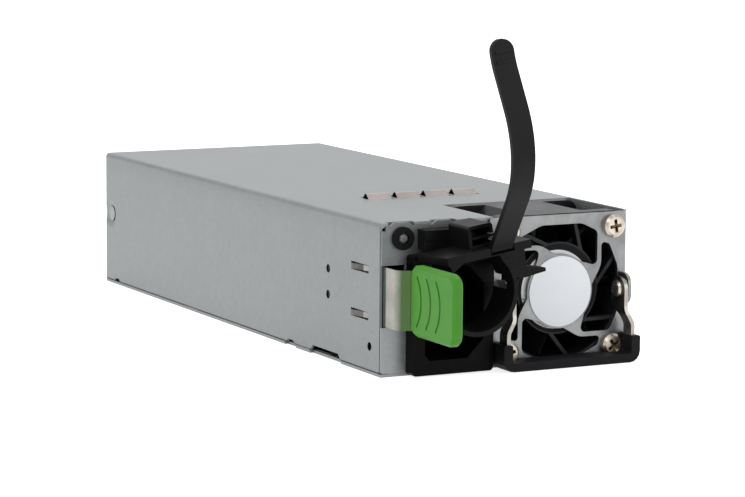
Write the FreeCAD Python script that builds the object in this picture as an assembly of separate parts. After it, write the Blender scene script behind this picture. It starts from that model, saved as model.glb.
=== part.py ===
"""Hot swap server power supply: sheet metal case, fan, inlet, cord retainer, latch and pull handle.

Millimetres, +Z up. The origin is the centre of the case's bottom face. The front, with the
inlet, fan and handle, faces -Y, and the card edge that plugs into the server faces +Y.
The fan fills the case's height. The latch, the status light and the inlet share what is left
of its width.
"""
import FreeCAD, Part
import math
import os

V = FreeCAD.Vector
TINY = 1e-6

# How far a cutter reaches past what it cuts
OVER = 1.0

# Sides of small or hidden round pieces, which are prisms: nuts, screws and holes, motor and cans
HEX_SIDES = 6
SMALL_SIDES = 12
ROUND_SIDES = 24

# Corners up to this radius are rounded in flat steps of this angle
STEPPED_R = 3.0
STEP_ANGLE = math.pi / 8

# Case
CASE_W = 73.5
CASE_L = 185.0
CASE_H = 40.0
SHEET = 0.8
BEND_R = 1.2
SEAM = 0.1
LEFT = -CASE_W / 2
RIGHT = CASE_W / 2
FRONT = -CASE_L / 2
REAR = CASE_L / 2
INNER_LEFT = LEFT + SHEET
INNER_RIGHT = RIGHT - SHEET
INNER_TOP = CASE_H - SHEET
WALL_FOOT = SHEET + SEAM

# Tabs and notches of the seam at the left wall's foot: start, length and height
WALL_TABS = ((FRONT + 41.2, 8.6), (FRONT + 115.2, 7.8))
FRONT_NOTCHES = ((FRONT + 22.8, 18.4, 2.4), (FRONT + 49.8, 6.8, 1.8))
REAR_NOTCH = (REAR - 11.5, 5.5, 1.8)
NOTCH_SLOPE = 1.6

# Tabs of the front panel in the cover's top: start and width
TOP_TABS = ((LEFT + 2.2, 7.0), (LEFT + 14.7, 6.7))
TAB_SLOPE = 1.5
TAB_CLEARANCE = 0.3
TAB_NOTCH_D = 2.0

# Fan
FAN_SIZE = CASE_H
FAN_SIDE_GAP = 0.1
FAN_W = FAN_SIZE - 2 * FAN_SIDE_GAP
FAN_D = 28.0
FAN_X = INNER_RIGHT - FAN_SIZE / 2
FAN_Z = CASE_H / 2
FAN_BACK = FRONT + FAN_D
FAN_FLANGE = 4.0
FAN_CORNER_R = 3.0
FAN_BORE_WALL = 1.0
FAN_BORE_R = FAN_SIZE / 2 - FAN_BORE_WALL
FAN_DUCT_WALL = 1.35
SCREW_INSET = 4.0
SCREW_PITCH = FAN_SIZE - 2 * SCREW_INSET
SCREW_SHANK_R = 1.7
SCREW_HOLE_R = 1.8
SCREW_HEAD_R = 3.1
SCREW_HEAD_H = 1.9
SCREW_CROWN = 0.7
CROSS_HALF_W = 0.45
CROSS_REACH = 1.85
CROSS_FOOT = 0.5
CROSS_DEPTH = 1.3
CROSS_TURNS = (20.0, -15.0, 35.0, 8.0)
SCREW_L = 8.0
VANE_COUNT = 7
VANE_START = 127.0
VANE_SWEEP = -26.0
VANE_W = 1.0
VANE_D = 2.6
VANE_ROOT = 1.0
VANE_LAP = 0.3
MOTOR_BASE_R = 12.3
MOTOR_BASE_D = 2.6
MOTOR_SET_BACK = 0.3
MOTOR_BASE_FRONT = FRONT + MOTOR_SET_BACK
MOTOR_START = MOTOR_BASE_FRONT + MOTOR_BASE_D
HUB_LABEL_R = 11.8
HUB_LABEL_T = 0.2
BEARING_TUBE_R = 4.6
BEARING_TUBE_L = 15.0
BEARING_TUBE_FLOOR = 1.0
BEARING_R = 3.6
BEARING_W = 3.0
SHAFT_R = 1.5
SHAFT_END = 0.4
RUNNING_GAP = 0.05
STATOR_R = 8.6
STATOR_L = 10.0
STATOR_SET_BACK = 1.5
STATOR_POLES = 4
STATOR_SLOT_W = 1.6
STATOR_YOKE = 1.6
MAGNET_T = 0.9
MAGNET_SET_BACK = 0.6
MAGNET_L = STATOR_L + 1.0
CUP_R = 11.4
CUP_WALL = 1.2
CUP_L = 19.0
MOTOR_GAP = 0.5
CUP_START = MOTOR_START + MOTOR_GAP
BLADE_COUNT = 7
BLADE_GAP = 0.5
BLADE_TIP_R = FAN_BORE_R - BLADE_GAP
BLADE_T = 1.1
BLADE_D = 15.0
BLADE_SPREAD = 10.4
BLADE_KNEE = 0.6
BLADE_CAMBER_R = 22.0
BLADE_SET_BACK = 1.0
BLADE_ROOT = 0.4

# Fan guard: its openings are centred a little below the fan, as is the label
GUARD_T = 1.0
GUARD_LAP = 1.1
GUARD_MARGIN = 0.3
GUARD_CORNER_R = 0.6
GUARD_DROP = 0.7
GUARD_Z = FAN_Z - GUARD_DROP
GUARD_HUB_R = 9.9
GUARD_RIM = 1.2
GUARD_REACH = FAN_BORE_R - GUARD_RIM
GUARD_OPENINGS = 4
LABEL_R = 9.4
LABEL_T = 0.25

# One opening of the guard, as shares of its reach, with the radius of each corner
OPENING_POINTS = ((0.71, 0.71), (0.85, 0.67), (1.0, 0.33), (1.0, -0.37), (0.87, -0.64), (0.35, -0.64),
                  (0.47, -0.2), (0.53, 0.03), (0.71, 0.35))
OPENING_RADII = (0.9, 1.0, 3.0, 3.0, 1.6, 1.3, 0, 0, 6.0)

# Handle
PIVOT_Y = FRONT - 3.5
PIVOT_DROP = 0.6
PIVOT_Z = FAN_Z - PIVOT_DROP
ARM_T = 1.1
ARM_INSET_UPPER = 2.95
ARM_INSET_LOWER = 1.05
ARM_UPPER = FAN_SIZE / 2 - ARM_INSET_UPPER
ARM_LOWER = FAN_SIZE / 2 - ARM_INSET_LOWER
ARM_EYE_R = 3.3
ARM_NECK_Z = PIVOT_Z - 4.4
ARM_SHOULDER_Z = PIVOT_Z - 6.8
JOGGLE_TOP_Z = PIVOT_Z - 5.8
JOGGLE_BOTTOM_Z = PIVOT_Z - 9.2
JOGGLE_R = 1.6
ARM_NECK_R = 2.0
ARM_SHOULDER_R = 1.5
ARM_FRONT = FRONT - 7.4
ARM_BACK = FRONT - 3.5
BAR_Z = 1.3
BAR_CORNER_R = 1.2
EAR_T = 0.9
EAR_GAP = 0.3
EAR_REACH = 3.0
EAR_H = 8.4
EAR_R = 2.8
RIVET_R = 1.5
RIVET_GAP = 0.08
RIVET_HEAD_R = 2.3
RIVET_HEAD_H = 0.9
RIVET_CROWN = 0.5
GRIP_WALL = 1.25
GRIP_FRONT = FRONT - 8.3
GRIP_BACK = FRONT - 1.7
GRIP_BOTTOM = 0.1
GRIP_TOP = 2.4
GRIP_END_TOP = 7.2
GRIP_END_T = 2.6
GRIP_CORNER_R = 3.0
GRIP_INNER_R = 0.8
GRIP_EDGE_R = 0.4
GRIP_SCREW_GAP = 0.4

# Front panel
PANEL_GAP = 0.15
PANEL_LEFT = LEFT + PANEL_GAP
PANEL_RIGHT = INNER_RIGHT - FAN_SIZE - 2 * PANEL_GAP
PANEL_CORNER_NOTCH = 1.2
PANEL_FLANGE = 11.0
GUARD_LEFT = PANEL_RIGHT - GUARD_LAP

# Status light
LED_X = LEFT + 6.0
LED_Z = CASE_H - 4.1
LED_RING_R = 3.0
LED_RING_PROUD = 1.1
LED_SEAT_R = 2.6
LED_SEAT_L = 2.0
LED_LENS_R = 1.55
LED_CROWN = 0.8
LED_LENS_SINK = 0.6
LED_BODY_L = 6.0
LED_FLANGE_R = 2.1

# Latch, centred on its own height
LATCH_Z = CASE_H / 2 + 0.95
LATCH_PLAY = 0.15
STRIP_T = 0.5
STRIP_H = 15.5
STRIP_X = INNER_LEFT + LATCH_PLAY + STRIP_T / 2
STRIP_REAR = FRONT + 32.0
STRIP_KINK_Y = FRONT - 6.6
STRIP_STEP = 3.95
STRIP_STEP_FORWARD = 1.9
STRIP_KINK_R = 1.8
STRIP_STEP_R = 1.2
STRIP_END = 3.0
LATCH_SLOT_MARGIN = 0.3
LATCH_SLOT_RIGHT = LEFT + 6.9
LATCH_TAB_T = 2.9
LATCH_TAB_H = 18.3
LATCH_TAB_Z = LATCH_Z + 0.4
LATCH_TAB_REAR = FRONT - 8.8
LATCH_TAB_FRONT = FRONT - 32.0
LATCH_TAB_CORNER_R = 3.0
LATCH_TAB_BEVEL = 0.7
GROOVE_COUNT = 3
GROOVE_PITCH = 5.0
GROOVE_SET_BACK = 9.5
GROOVE_H = 13.0
GROOVE_BULGE = 4.2
GROOVE_R = 10.0
GROOVE_W = 0.6
GROOVE_D = 0.3
LATCH_RIVET_Y = FRONT + 30.4
LATCH_RIVET_Z = (LATCH_Z - 3.45, LATCH_Z + 3.45)
WALL_HOLE_R = 1.15
LATCH_RIVET_R = 1.0
LATCH_RIVET_SINK = 0.3
LATCH_RIVET_HEAD_R = 1.8
LATCH_RIVET_HEAD_H = 0.6
BARB_FRONT = FRONT + 8.0
BARB_REAR = FRONT + 16.0
BARB_TOP = 1.2
BARB_W = 1.5
BARB_PROUD = 0.5
BARB_Z = (LATCH_Z - 6.0, LATCH_Z + 6.25)
SLOT_END_GAP = 1.0
SLOT_H = 2.1
TOOL_HOLE = (FRONT + 6.3, 7.2)

# Inlet: its bezel fills the room between the latch and the guard, and the height up to the anchor
ANCHOR_TOP = CASE_H - 1.9
ANCHOR_H = 5.1
ANCHOR_BOTTOM = ANCHOR_TOP - ANCHOR_H
BEZEL_SIDE_GAP = 0.4
BEZEL_GUARD_GAP = 0.3
BEZEL_LEFT = LATCH_SLOT_RIGHT + BEZEL_SIDE_GAP
BEZEL_RIGHT = GUARD_LEFT - BEZEL_GUARD_GAP
BEZEL_BOTTOM = 0.3
BEZEL_TOP = ANCHOR_BOTTOM - 1.4
BEZEL_D = 4.0
BEZEL_CORNER_R = 1.0
BEZEL_RIM_LEFT = 3.5
BEZEL_RIM_RIGHT = 3.0
BEZEL_RIM_BOTTOM = 3.8
BEZEL_RIM_TOP = 3.1
SOCKET_LEFT = BEZEL_LEFT + BEZEL_RIM_LEFT
SOCKET_RIGHT = BEZEL_RIGHT - BEZEL_RIM_RIGHT
SOCKET_BOTTOM = BEZEL_BOTTOM + BEZEL_RIM_BOTTOM
SOCKET_TOP = BEZEL_TOP - BEZEL_RIM_TOP
SOCKET_X = (SOCKET_LEFT + SOCKET_RIGHT) / 2
SOCKET_Z = (SOCKET_BOTTOM + SOCKET_TOP) / 2
SOCKET_CHAMFER = 4.8
SOCKET_SMALL_CORNER = 1.5
SOCKET_EDGE_R = 0.5
SOCKET_WALL = 1.6
SOCKET_DEPTH = 16.0
SOCKET_FLOOR = 4.0
SOCKET_END = FRONT + SOCKET_DEPTH - BEZEL_D
PIN_SPACING = 7.0
PIN_OFFSET = 2.0
PIN_W = 4.0
PIN_T = 2.0
PIN_SET_BACK = 3.5
PIN_TAIL = 5.0
PIN_CLEARANCE = 0.02

# Cord retainer: u runs across it and w up it, both from the collar's centre
RETAINER_TILT = 8.5
BEYOND = 20.0
ROOF_TOP = 10.6
ROOF_T = 2.2
ROOF_BOTTOM = ROOF_TOP - ROOF_T
COLLAR_X = SOCKET_X
COLLAR_Z = ANCHOR_BOTTOM - 9.7
COLLAR_R = 10.2
COLLAR_WALL = 1.2
COLLAR_FRONT = FRONT - 17.0
COLLAR_BACK = FRONT - 6.0
COLLAR_LIP = 4.0
COLLAR_GAP = (-10.0, 25.0)
COLLAR_END_ANGLE = 225.0
ARM_END = (-6.6, 6.1)
CLAMP_BACK = FRONT - 4.15
ROOF_LEFT_FRONT = -7.9
ROOF_LEFT_BACK = -10.1
ROOF_RIGHT = 16.6
FLAT_LEFT = -3.5
FLAT_RIGHT = 7.0
SLOPE_FOOT = (-8.8, 5.2)
SIDE_TOP_W = 1.4
BUCKLE_LEFT = 0.1
BUCKLE_W = 7.2
BUCKLE_H = 6.1
BUCKLE_FRONT = FRONT - 14.5
BUCKLE_WALL = 0.9
BUCKLE_FLOOR = 0.9
BUCKLE_RIGHT = BUCKLE_LEFT + BUCKLE_W
LUG_LEFT = 5.0
LUG_RIGHT = 14.4
LUG_BACK = FRONT - 8.0
PRONG_TIP = 19.9
PRONG_D = 3.4
ANCHOR_LEFT = LED_X + LED_RING_R + 1.5
ANCHOR_RIGHT = BEZEL_RIGHT - 7.0
ANCHOR_STEM_W = 7.0
ANCHOR_STEM_H = 2.8
ANCHOR_STEM_L = 2.0
ANCHOR_SNAP = 0.6
ANCHOR_GROOVE = 0.3
ANCHOR_GROOVE_L = 5.0
ANCHOR_GROOVE_DROP = 0.6
PAWL_W = 13.4
PAWL_T = 0.6
PAWL_SIDE_GAP = 0.3
PAWL_BARREL_R = 0.8
PAWL_PIN_R = 0.45
PAWL_PIN_Y = FRONT - 6.4
PAWL_SET_BACK = 0.2
PAWL_TRAVEL = 1.0
PAWL_FINGER_D = 2.4
PAWL_FINGER_OUT = 1.3
PAWL_TOOTH = 1.1
PAWL_TOOTH_INSET = 0.8
STRAP_U = 8.1
STRAP_W = 6.4
STRAP_T = 1.3
STRAP_BARREL_R = 1.0
STRAP_PIN_R = 0.5
STRAP_PIN_OUT = 0.9
STRAP_SIDE_GAP = 0.3
STRAP_CLEARANCE = 0.25
STRAP_ROOT_Y = FRONT - 15.95
STRAP_ROOT_DROP = 0.65
STRAP_ROOT_W = ROOF_TOP - STRAP_ROOT_DROP

# The strap's straight runs from its hinge: length and forward lean
STRAP_RUNS = ((32.0, 40.3), (25.3, -17.8), (6.4, -6.2))
STRAP_BEND_R = 25.0
STRAP_TIP_BEND_R = 15.0
RIDGE_COUNT = 3
RIDGE_PITCH = 2.6
RIDGE_FIRST = 3.2
RIDGE_H = 0.3
RIDGE_FOOT = 0.6
RIDGE_CREST = 0.3
RIDGE_SHARE = 0.7

# Finger springs on the top
SPRING_LEFT = LEFT + 20.3
SPRING_PITCH = 8.9
SPRING_COUNT = 4
SPRING_W = 7.0
SPRING_FRONT = FRONT + 45.5
SPRING_D = 6.0
SPRING_REAR = SPRING_FRONT + SPRING_D
SPRING_RISE = 1.6
SPRING_T = 0.15
SPRING_FOOT = 0.4
SPRING_CROWN_R = 0.6
SPRING_RAIL = 1.6
SPRING_RAIL_END = 2.0
SPRING_RAIL_LAP = 0.05
SPRING_WINDOW_GAP = 0.3

# Screws at the rear of the walls
WALL_SCREW_Y = REAR - 3.6
WALL_SCREW_Z = CASE_H / 2 + 1.5
WALL_SCREW_R = 1.2
WALL_SCREW_L = 2.4
WALL_SCREW_HEAD_R = 2.25
WALL_SCREW_HEAD_H = SHEET / 2
DIMPLE_R = 4.25

# Rear panel
REAR_FLANGE = 7.0
VENT_R = 2.5
VENT_PITCH_X = 6.1
VENT_PITCH_Z = 5.3
VENT_MARGIN_X = 3.5
VENT_MARGIN_TOP = 2.5
VENT_BOTTOM = 12.6

# Main board and card edge
BOARD_T = 1.6
BOARD_Z = 5.0
BOARD_TOP = BOARD_Z + BOARD_T
BOARD_SIDE_PLAY = 0.2
BOARD_SIDE_GAP = SHEET + BOARD_SIDE_PLAY
BOARD_FAN_GAP = 3.0
BOARD_FRONT = FAN_BACK + BOARD_FAN_GAP
BOARD_REAR_GAP = 0.4
BOARD_LEFT = INNER_LEFT + BOARD_SIDE_GAP
BOARD_RIGHT = INNER_RIGHT - BOARD_SIDE_GAP
BOARD_REAR = REAR - SHEET - BOARD_REAR_GAP
LID_GAP = 2.0
HEADROOM = INNER_TOP - BOARD_TOP - LID_GAP
EDGE_INSET = 4.25
EDGE_HALF = CASE_W / 2 - EDGE_INSET
EDGE_OUT = 8.5
EDGE_ROOT = 3.0
EDGE_CORNER_R = 1.0
EDGE_SLOT_GAP = 0.5
CONTACT_PITCH = 2.54
CONTACT_W = 1.8
CONTACT_L = 7.0
CONTACT_T = 0.08
CONTACT_SET_BACK = 0.8
STANDOFF_R = 2.7
STANDOFF_INSET = 5.0
STANDOFF_BORE = 3.0
BOARD_SCREW_R = 1.4
BOARD_SCREW_HEAD_R = 2.6
BOARD_SCREW_HEAD_H = 1.6
FILM_T = 0.25
FILM_GAP = 0.6
FILM_HOLE_GAP = 0.2

# Bays on the main board: shares of its width, of its length and of the headroom
X_CAPACITOR_BAYS = (((0.03, 0.26), (0.07, 0.14), (0, 0.49)), ((0.29, 0.52), (0.07, 0.12), (0, 0.42)))
CHOKE_BAYS = (((0.57, 0.81), (0.03, 0.14), (0, 0.52)), ((0.57, 0.81), (0.16, 0.27), (0, 0.52)))
FUSE_BAY = ((0.88, 0.955), (0.085, 0.215), (0, 1))
RELAY_BAY = ((0.03, 0.175), (0.16, 0.255), (0, 0.49))
BULK_BAY = ((0.01, 0.41), (0.27, 0.58), (0, 0.91))
PFC_BAY = ((0.49, 0.82), (0.31, 0.45), (0, 0.85))
PRIMARY_BAY = ((0.88, 0.975), (0.295, 0.6), (0, 0.92))
TRANSFORMER_BAY = ((0.09, 0.575), (0.62, 0.82), (0, 0.88))
SECONDARY_BAY = ((0.63, 0.95), (0.635, 0.7), (0, 0.85))
OUTPUT_BAY = ((0.6, 0.975), (0.74, 0.86), (0, 0.65))
CONTROL_BAY = ((0.03, 0.05), (0.62, 0.88), (0, 0.92))
CHOKE_HOLE_SHARE = 0.42
CORE_WALL = 4.5
PFC_COIL_LAP = 2.0
PFC_COIL_INSET = 2.0
WINDING_GAP = 0.2
WINDING_OUT = 3.0
HEATSINK_BASE = 2.0
FIN_T = 1.5
FIN_DROP = 2.0
PRIMARY_FINS = 6
SECONDARY_FINS = 5
TRANSISTOR_COUNT = 3
TRANSISTOR_PITCH = 7.0
TRANSISTOR_W = 5.5
TRANSISTOR_T = 3.0
TRANSISTOR_SHARE = 0.65
OUTPUT_COLUMNS = 3
OUTPUT_ROWS = 2
CAN_GAP = 0.5
CONTROL_BOARD_T = 1.6
CHIP_COUNT = 3
CHIP_L = 8.0
CHIP_T = 1.6
CHIP_SHARES = (0.26, 0.52)


def box(x_low, x_high, y_low, y_high, z_low, z_high):
    return Part.makeBox(x_high - x_low, y_high - y_low, z_high - z_low, V(x_low, y_low, z_low))


def rod_x(radius, x_low, x_high, y, z):
    return Part.makeCylinder(radius, x_high - x_low, V(x_low, y, z), V(1, 0, 0))


def rod_y(radius, y_low, y_high, x, z):
    return Part.makeCylinder(radius, y_high - y_low, V(x, y_low, z), V(0, 1, 0))


def polygon(radius, sides, a, b):
    """Corners of a regular polygon about the point a, b."""
    turns = [2 * math.pi * (i + 0.5) / sides for i in range(sides)]
    return [(a + radius * math.cos(turn), b + radius * math.sin(turn)) for turn in turns]


def prism_x(radius, sides, x_low, x_high, y, z):
    return slab_x(polygon(radius, sides, y, z), 0, x_low, x_high)


def prism_y(radius, sides, y_low, y_high, x, z):
    return slab_y(polygon(radius, sides, x, z), 0, y_low, y_high)


def prism_z(radius, sides, z_low, z_high, x, y):
    return slab_z(polygon(radius, sides, x, y), 0, z_low, z_high)


def motor_rod(radius, y_low, y_high):
    return prism_y(radius, ROUND_SIDES, y_low, y_high, FAN_X, FAN_Z)


def crowned_head(radius, height, crown, base, axis):
    """Round head that stands out from its base along the axis, with a sloped crown."""
    skirt = Part.makeCylinder(radius, height - crown, base, axis)
    top = Part.makeCone(radius, radius - crown, crown, base + axis * (height - crown), axis)
    return joined([skirt, top])


def joined(shapes):
    """One solid from shapes that touch or overlap."""
    return shapes[0].fuse(shapes[1:]).removeSplitter()


def group(shapes):
    """Separate solids kept side by side."""
    return Part.makeCompound(shapes)


def on_front(y):
    return lambda x, z: V(x, y, z)


def on_side(x):
    return lambda y, z: V(x, y, z)


def on_top(z):
    return lambda x, y: V(x, y, z)


def heading(start, end):
    length = math.hypot(end[0] - start[0], end[1] - start[1])
    return (end[0] - start[0]) / length, (end[1] - start[1]) / length


def rounded_corner(before, corner, after, radius):
    """Points along the arc that rounds one corner: three for a true arc, more for flat steps."""
    back = heading(corner, before)
    ahead = heading(corner, after)
    half = math.acos(back[0] * ahead[0] + back[1] * ahead[1]) / 2
    reach = radius / math.tan(half)
    sum_x = back[0] + ahead[0]
    sum_y = back[1] + ahead[1]
    size = math.hypot(sum_x, sum_y)
    depth = radius / math.sin(half)
    centre = (corner[0] + sum_x / size * depth, corner[1] + sum_y / size * depth)
    start = (corner[0] + back[0] * reach, corner[1] + back[1] * reach)
    end = (corner[0] + ahead[0] * reach, corner[1] + ahead[1] * reach)
    first = math.atan2(start[1] - centre[1], start[0] - centre[0])
    sweep = math.pi - 2 * half
    if back[0] * ahead[1] - back[1] * ahead[0] > 0:
        sweep = -sweep
    steps = 2 if radius > STEPPED_R else max(1, round(abs(sweep) / STEP_ANGLE))
    turns = [first + sweep * k / steps for k in range(1, steps)]
    between = [(centre[0] + radius * math.cos(turn), centre[1] + radius * math.sin(turn)) for turn in turns]
    return [start] + between + [end]


def rounded_wire(points, radii, place):
    """Closed wire through flat points, each corner rounded by its own radius."""
    count = len(points)
    stops = []
    for i in range(count):
        if radii[i] > 0:
            stops.append(rounded_corner(points[i - 1], points[i], points[(i + 1) % count], radii[i]))
        else:
            stops.append([points[i]])
    edges = []
    for i in range(count):
        if radii[i] > STEPPED_R:
            edges.append(Part.Arc(*[place(*stop) for stop in stops[i]]).toShape())
            line = [stops[i][-1], stops[(i + 1) % count][0]]
        else:
            line = stops[i] + [stops[(i + 1) % count][0]]
        for near, far in zip(line, line[1:]):
            if math.hypot(far[0] - near[0], far[1] - near[1]) > TINY:
                edges.append(Part.LineSegment(place(*near), place(*far)).toShape())
    return Part.Wire(edges)


def radii_for(points, radius):
    if isinstance(radius, (list, tuple)):
        return radius
    return [radius] * len(points)


def slab_y(points, radius, y_low, y_high):
    """Solid with an outline in X and Z, from y_low to y_high."""
    wire = rounded_wire(points, radii_for(points, radius), on_front(y_low))
    return Part.Face(wire).extrude(V(0, y_high - y_low, 0))


def slab_x(points, radius, x_low, x_high):
    """Solid with an outline in Y and Z, from x_low to x_high."""
    wire = rounded_wire(points, radii_for(points, radius), on_side(x_low))
    return Part.Face(wire).extrude(V(x_high - x_low, 0, 0))


def slab_z(points, radius, z_low, z_high):
    """Solid with an outline in X and Y, from z_low to z_high."""
    wire = rounded_wire(points, radii_for(points, radius), on_top(z_low))
    return Part.Face(wire).extrude(V(0, 0, z_high - z_low))


def rectangle(a_low, a_high, b_low, b_high):
    return [(a_low, b_low), (a_high, b_low), (a_high, b_high), (a_low, b_high)]


def ribbon(points, radii, thickness):
    """Outline of a bent strip: the corners of its centre line pushed out to both sides."""
    half = thickness / 2
    left = []
    right = []
    last = len(points) - 1
    for i, point in enumerate(points):
        way_in = heading(points[i - 1], point) if i > 0 else heading(point, points[i + 1])
        way_out = heading(point, points[i + 1]) if i < last else way_in
        sum_x = -way_in[1] - way_out[1]
        sum_y = way_in[0] + way_out[0]
        size = math.hypot(sum_x, sum_y)
        side = (sum_x / size, sum_y / size)
        reach = half / (side[0] * -way_in[1] + side[1] * way_in[0])
        turn = way_in[0] * way_out[1] - way_in[1] * way_out[0]
        inside = max(radii[i] - half, 0)
        outside = radii[i] + half if radii[i] > 0 else 0
        left_r = inside if turn > 0 else outside
        right_r = outside if turn > 0 else inside
        left.append(((point[0] + side[0] * reach, point[1] + side[1] * reach), left_r))
        right.append(((point[0] - side[0] * reach, point[1] - side[1] * reach), right_r))
    both = left + right[::-1]
    return [entry[0] for entry in both], [entry[1] for entry in both]


def turned(shape, degrees, z=FAN_Z):
    """Turned about an axis through the fan, counter-clockwise as seen from the front."""
    copy = shape.copy()
    copy.rotate(V(FAN_X, 0, z), V(0, -1, 0), degrees)
    return copy


def tilted(shape):
    """The retainer's own frame, u and w from the collar's centre, turned to its lean."""
    copy = shape.copy()
    copy.rotate(V(COLLAR_X, 0, COLLAR_Z), V(0, -1, 0), RETAINER_TILT)
    return copy


def screw_places():
    half = SCREW_PITCH / 2
    return [(FAN_X + i * half, FAN_Z + j * half) for i in (-1, 1) for j in (-1, 1)]


# Case

def edge_notch(start, length, height):
    """Notch in the left wall's foot, with sloped ends."""
    end = start + length
    points = [(start, -OVER), (end, -OVER), (end, height - NOTCH_SLOPE), (end - NOTCH_SLOPE, height),
              (start + NOTCH_SLOPE, height), (start, height - NOTCH_SLOPE)]
    return slab_x(points, 0, LEFT - OVER, INNER_LEFT + OVER)


def top_tab_notch(start, width):
    return box(start - TAB_CLEARANCE, start + width + TAB_CLEARANCE, FRONT - OVER, FRONT + TAB_NOTCH_D,
               INNER_TOP - SEAM, CASE_H + OVER)


def fan_window():
    return box(FAN_X - FAN_W / 2 - SEAM, FAN_X + FAN_W / 2 + SEAM / 2, FRONT - OVER,
               FAN_BACK + SEAM, -OVER, CASE_H + OVER)


def spring_window(i):
    low = SPRING_LEFT + i * SPRING_PITCH
    return box(low - SPRING_WINDOW_GAP, low + SPRING_W + SPRING_WINDOW_GAP,
               SPRING_FRONT - SPRING_WINDOW_GAP, SPRING_REAR + SPRING_WINDOW_GAP,
               INNER_TOP - OVER, CASE_H + OVER)


def countersink(side):
    """Cone that seats a flat screw head in the left (-1) or right (1) wall."""
    outer = LEFT if side < 0 else RIGHT
    return Part.makeCone(DIMPLE_R, WALL_SCREW_HEAD_R - WALL_SCREW_HEAD_H, SHEET,
                         V(outer, WALL_SCREW_Y, WALL_SCREW_Z), V(-side, 0, 0))


def through_left_wall(outline):
    return slab_x(outline, 0, LEFT - OVER, INNER_LEFT + OVER)


def case_cover():
    profile = [(LEFT, WALL_FOOT), (LEFT, CASE_H), (RIGHT, CASE_H), (RIGHT, INNER_TOP),
               (INNER_LEFT, INNER_TOP), (INNER_LEFT, WALL_FOOT)]
    radii = [0, BEND_R, 0, 0, BEND_R - SHEET, 0]
    shell = slab_y(profile, radii, FRONT, REAR)
    tabs = [box(LEFT, INNER_LEFT, start, start + length, 0, WALL_FOOT) for start, length in WALL_TABS]
    shell = joined([shell] + tabs)
    cuts = [edge_notch(*notch) for notch in FRONT_NOTCHES + (REAR_NOTCH,)]
    cuts += [top_tab_notch(*tab) for tab in TOP_TABS]
    cuts += [spring_window(i) for i in range(SPRING_COUNT)]
    cuts += [fan_window(), countersink(-1)]
    cuts.append(through_left_wall(rectangle(FRONT - OVER, FRONT + SHEET + SEAM, -OVER, CASE_H - BEND_R)))
    cuts += [rod_x(WALL_HOLE_R, LEFT - OVER, INNER_LEFT + OVER, LATCH_RIVET_Y, z) for z in LATCH_RIVET_Z]
    cuts.append(rod_x(WALL_HOLE_R, LEFT - OVER, INNER_LEFT + OVER, *TOOL_HOLE))
    for z in BARB_Z:
        cuts.append(through_left_wall(rectangle(BARB_FRONT - SLOT_END_GAP, BARB_REAR + SLOT_END_GAP,
                                                z - SLOT_H / 2, z + SLOT_H / 2)))
    return shell.cut(cuts)


def case_tray():
    wall_top = INNER_TOP - SEAM
    profile = [(LEFT, 0), (RIGHT, 0), (RIGHT, wall_top), (INNER_RIGHT, wall_top),
               (INNER_RIGHT, SHEET), (LEFT, SHEET)]
    radii = [0, BEND_R, 0, 0, BEND_R - SHEET, 0]
    tray = slab_y(profile, radii, FRONT, REAR)
    cuts = [fan_window(), countersink(1)]
    for start, length in WALL_TABS + tuple(notch[:2] for notch in FRONT_NOTCHES):
        end = start + length
        cuts.append(box(LEFT - OVER, INNER_LEFT + SEAM, start - SEAM, end + SEAM, -OVER, SHEET + OVER))
    return tray.cut(cuts)


def front_panel():
    low = WALL_FOOT
    high = INNER_TOP - SEAM
    step = LEFT + BEND_R + SEAM
    points = [(PANEL_LEFT, low), (PANEL_RIGHT, low), (PANEL_RIGHT, high), (step, high),
              (step, high - PANEL_CORNER_NOTCH), (PANEL_LEFT, high - PANEL_CORNER_NOTCH)]
    plate = slab_y(points, 0, FRONT, FRONT + SHEET)
    tabs = []
    for start, width in TOP_TABS:
        end = start + width
        tab = [(start, high), (end, high), (end - TAB_SLOPE, CASE_H), (start + TAB_SLOPE, CASE_H)]
        tabs.append(slab_y(tab, 0, FRONT, FRONT + SHEET))
    side_flange = box(PANEL_RIGHT - SHEET, PANEL_RIGHT, FRONT, FRONT + PANEL_FLANGE, low, high)
    foot = box(INNER_LEFT + BEND_R, PANEL_RIGHT, FRONT, FRONT + PANEL_FLANGE, SHEET, SHEET + SHEET)
    panel = joined([plate, side_flange, foot] + tabs)
    half = STRIP_H / 2 + LATCH_SLOT_MARGIN
    slot = box(PANEL_LEFT - OVER, LATCH_SLOT_RIGHT, FRONT - OVER, FRONT + SHEET + OVER,
               LATCH_Z - half, LATCH_Z + half)
    light_hole = rod_y(LED_SEAT_R, FRONT - OVER, FRONT + SHEET + OVER, LED_X, LED_Z)
    return panel.cut([slot, light_hole, socket_body_hole(), anchor_hole()])


def vent_places():
    """Staggered rows of vents that fill the rear panel above the card edge."""
    width = CASE_W - 2 * (SHEET + VENT_MARGIN_X + VENT_R)
    columns = int(width / VENT_PITCH_X) + 1
    rows = int((INNER_TOP - VENT_MARGIN_TOP - VENT_R - VENT_BOTTOM) / VENT_PITCH_Z) + 1
    places = []
    for row in range(rows):
        count = columns - row % 2
        for column in range(count):
            places.append(((column - (count - 1) / 2) * VENT_PITCH_X, VENT_BOTTOM + row * VENT_PITCH_Z))
    return places


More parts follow.
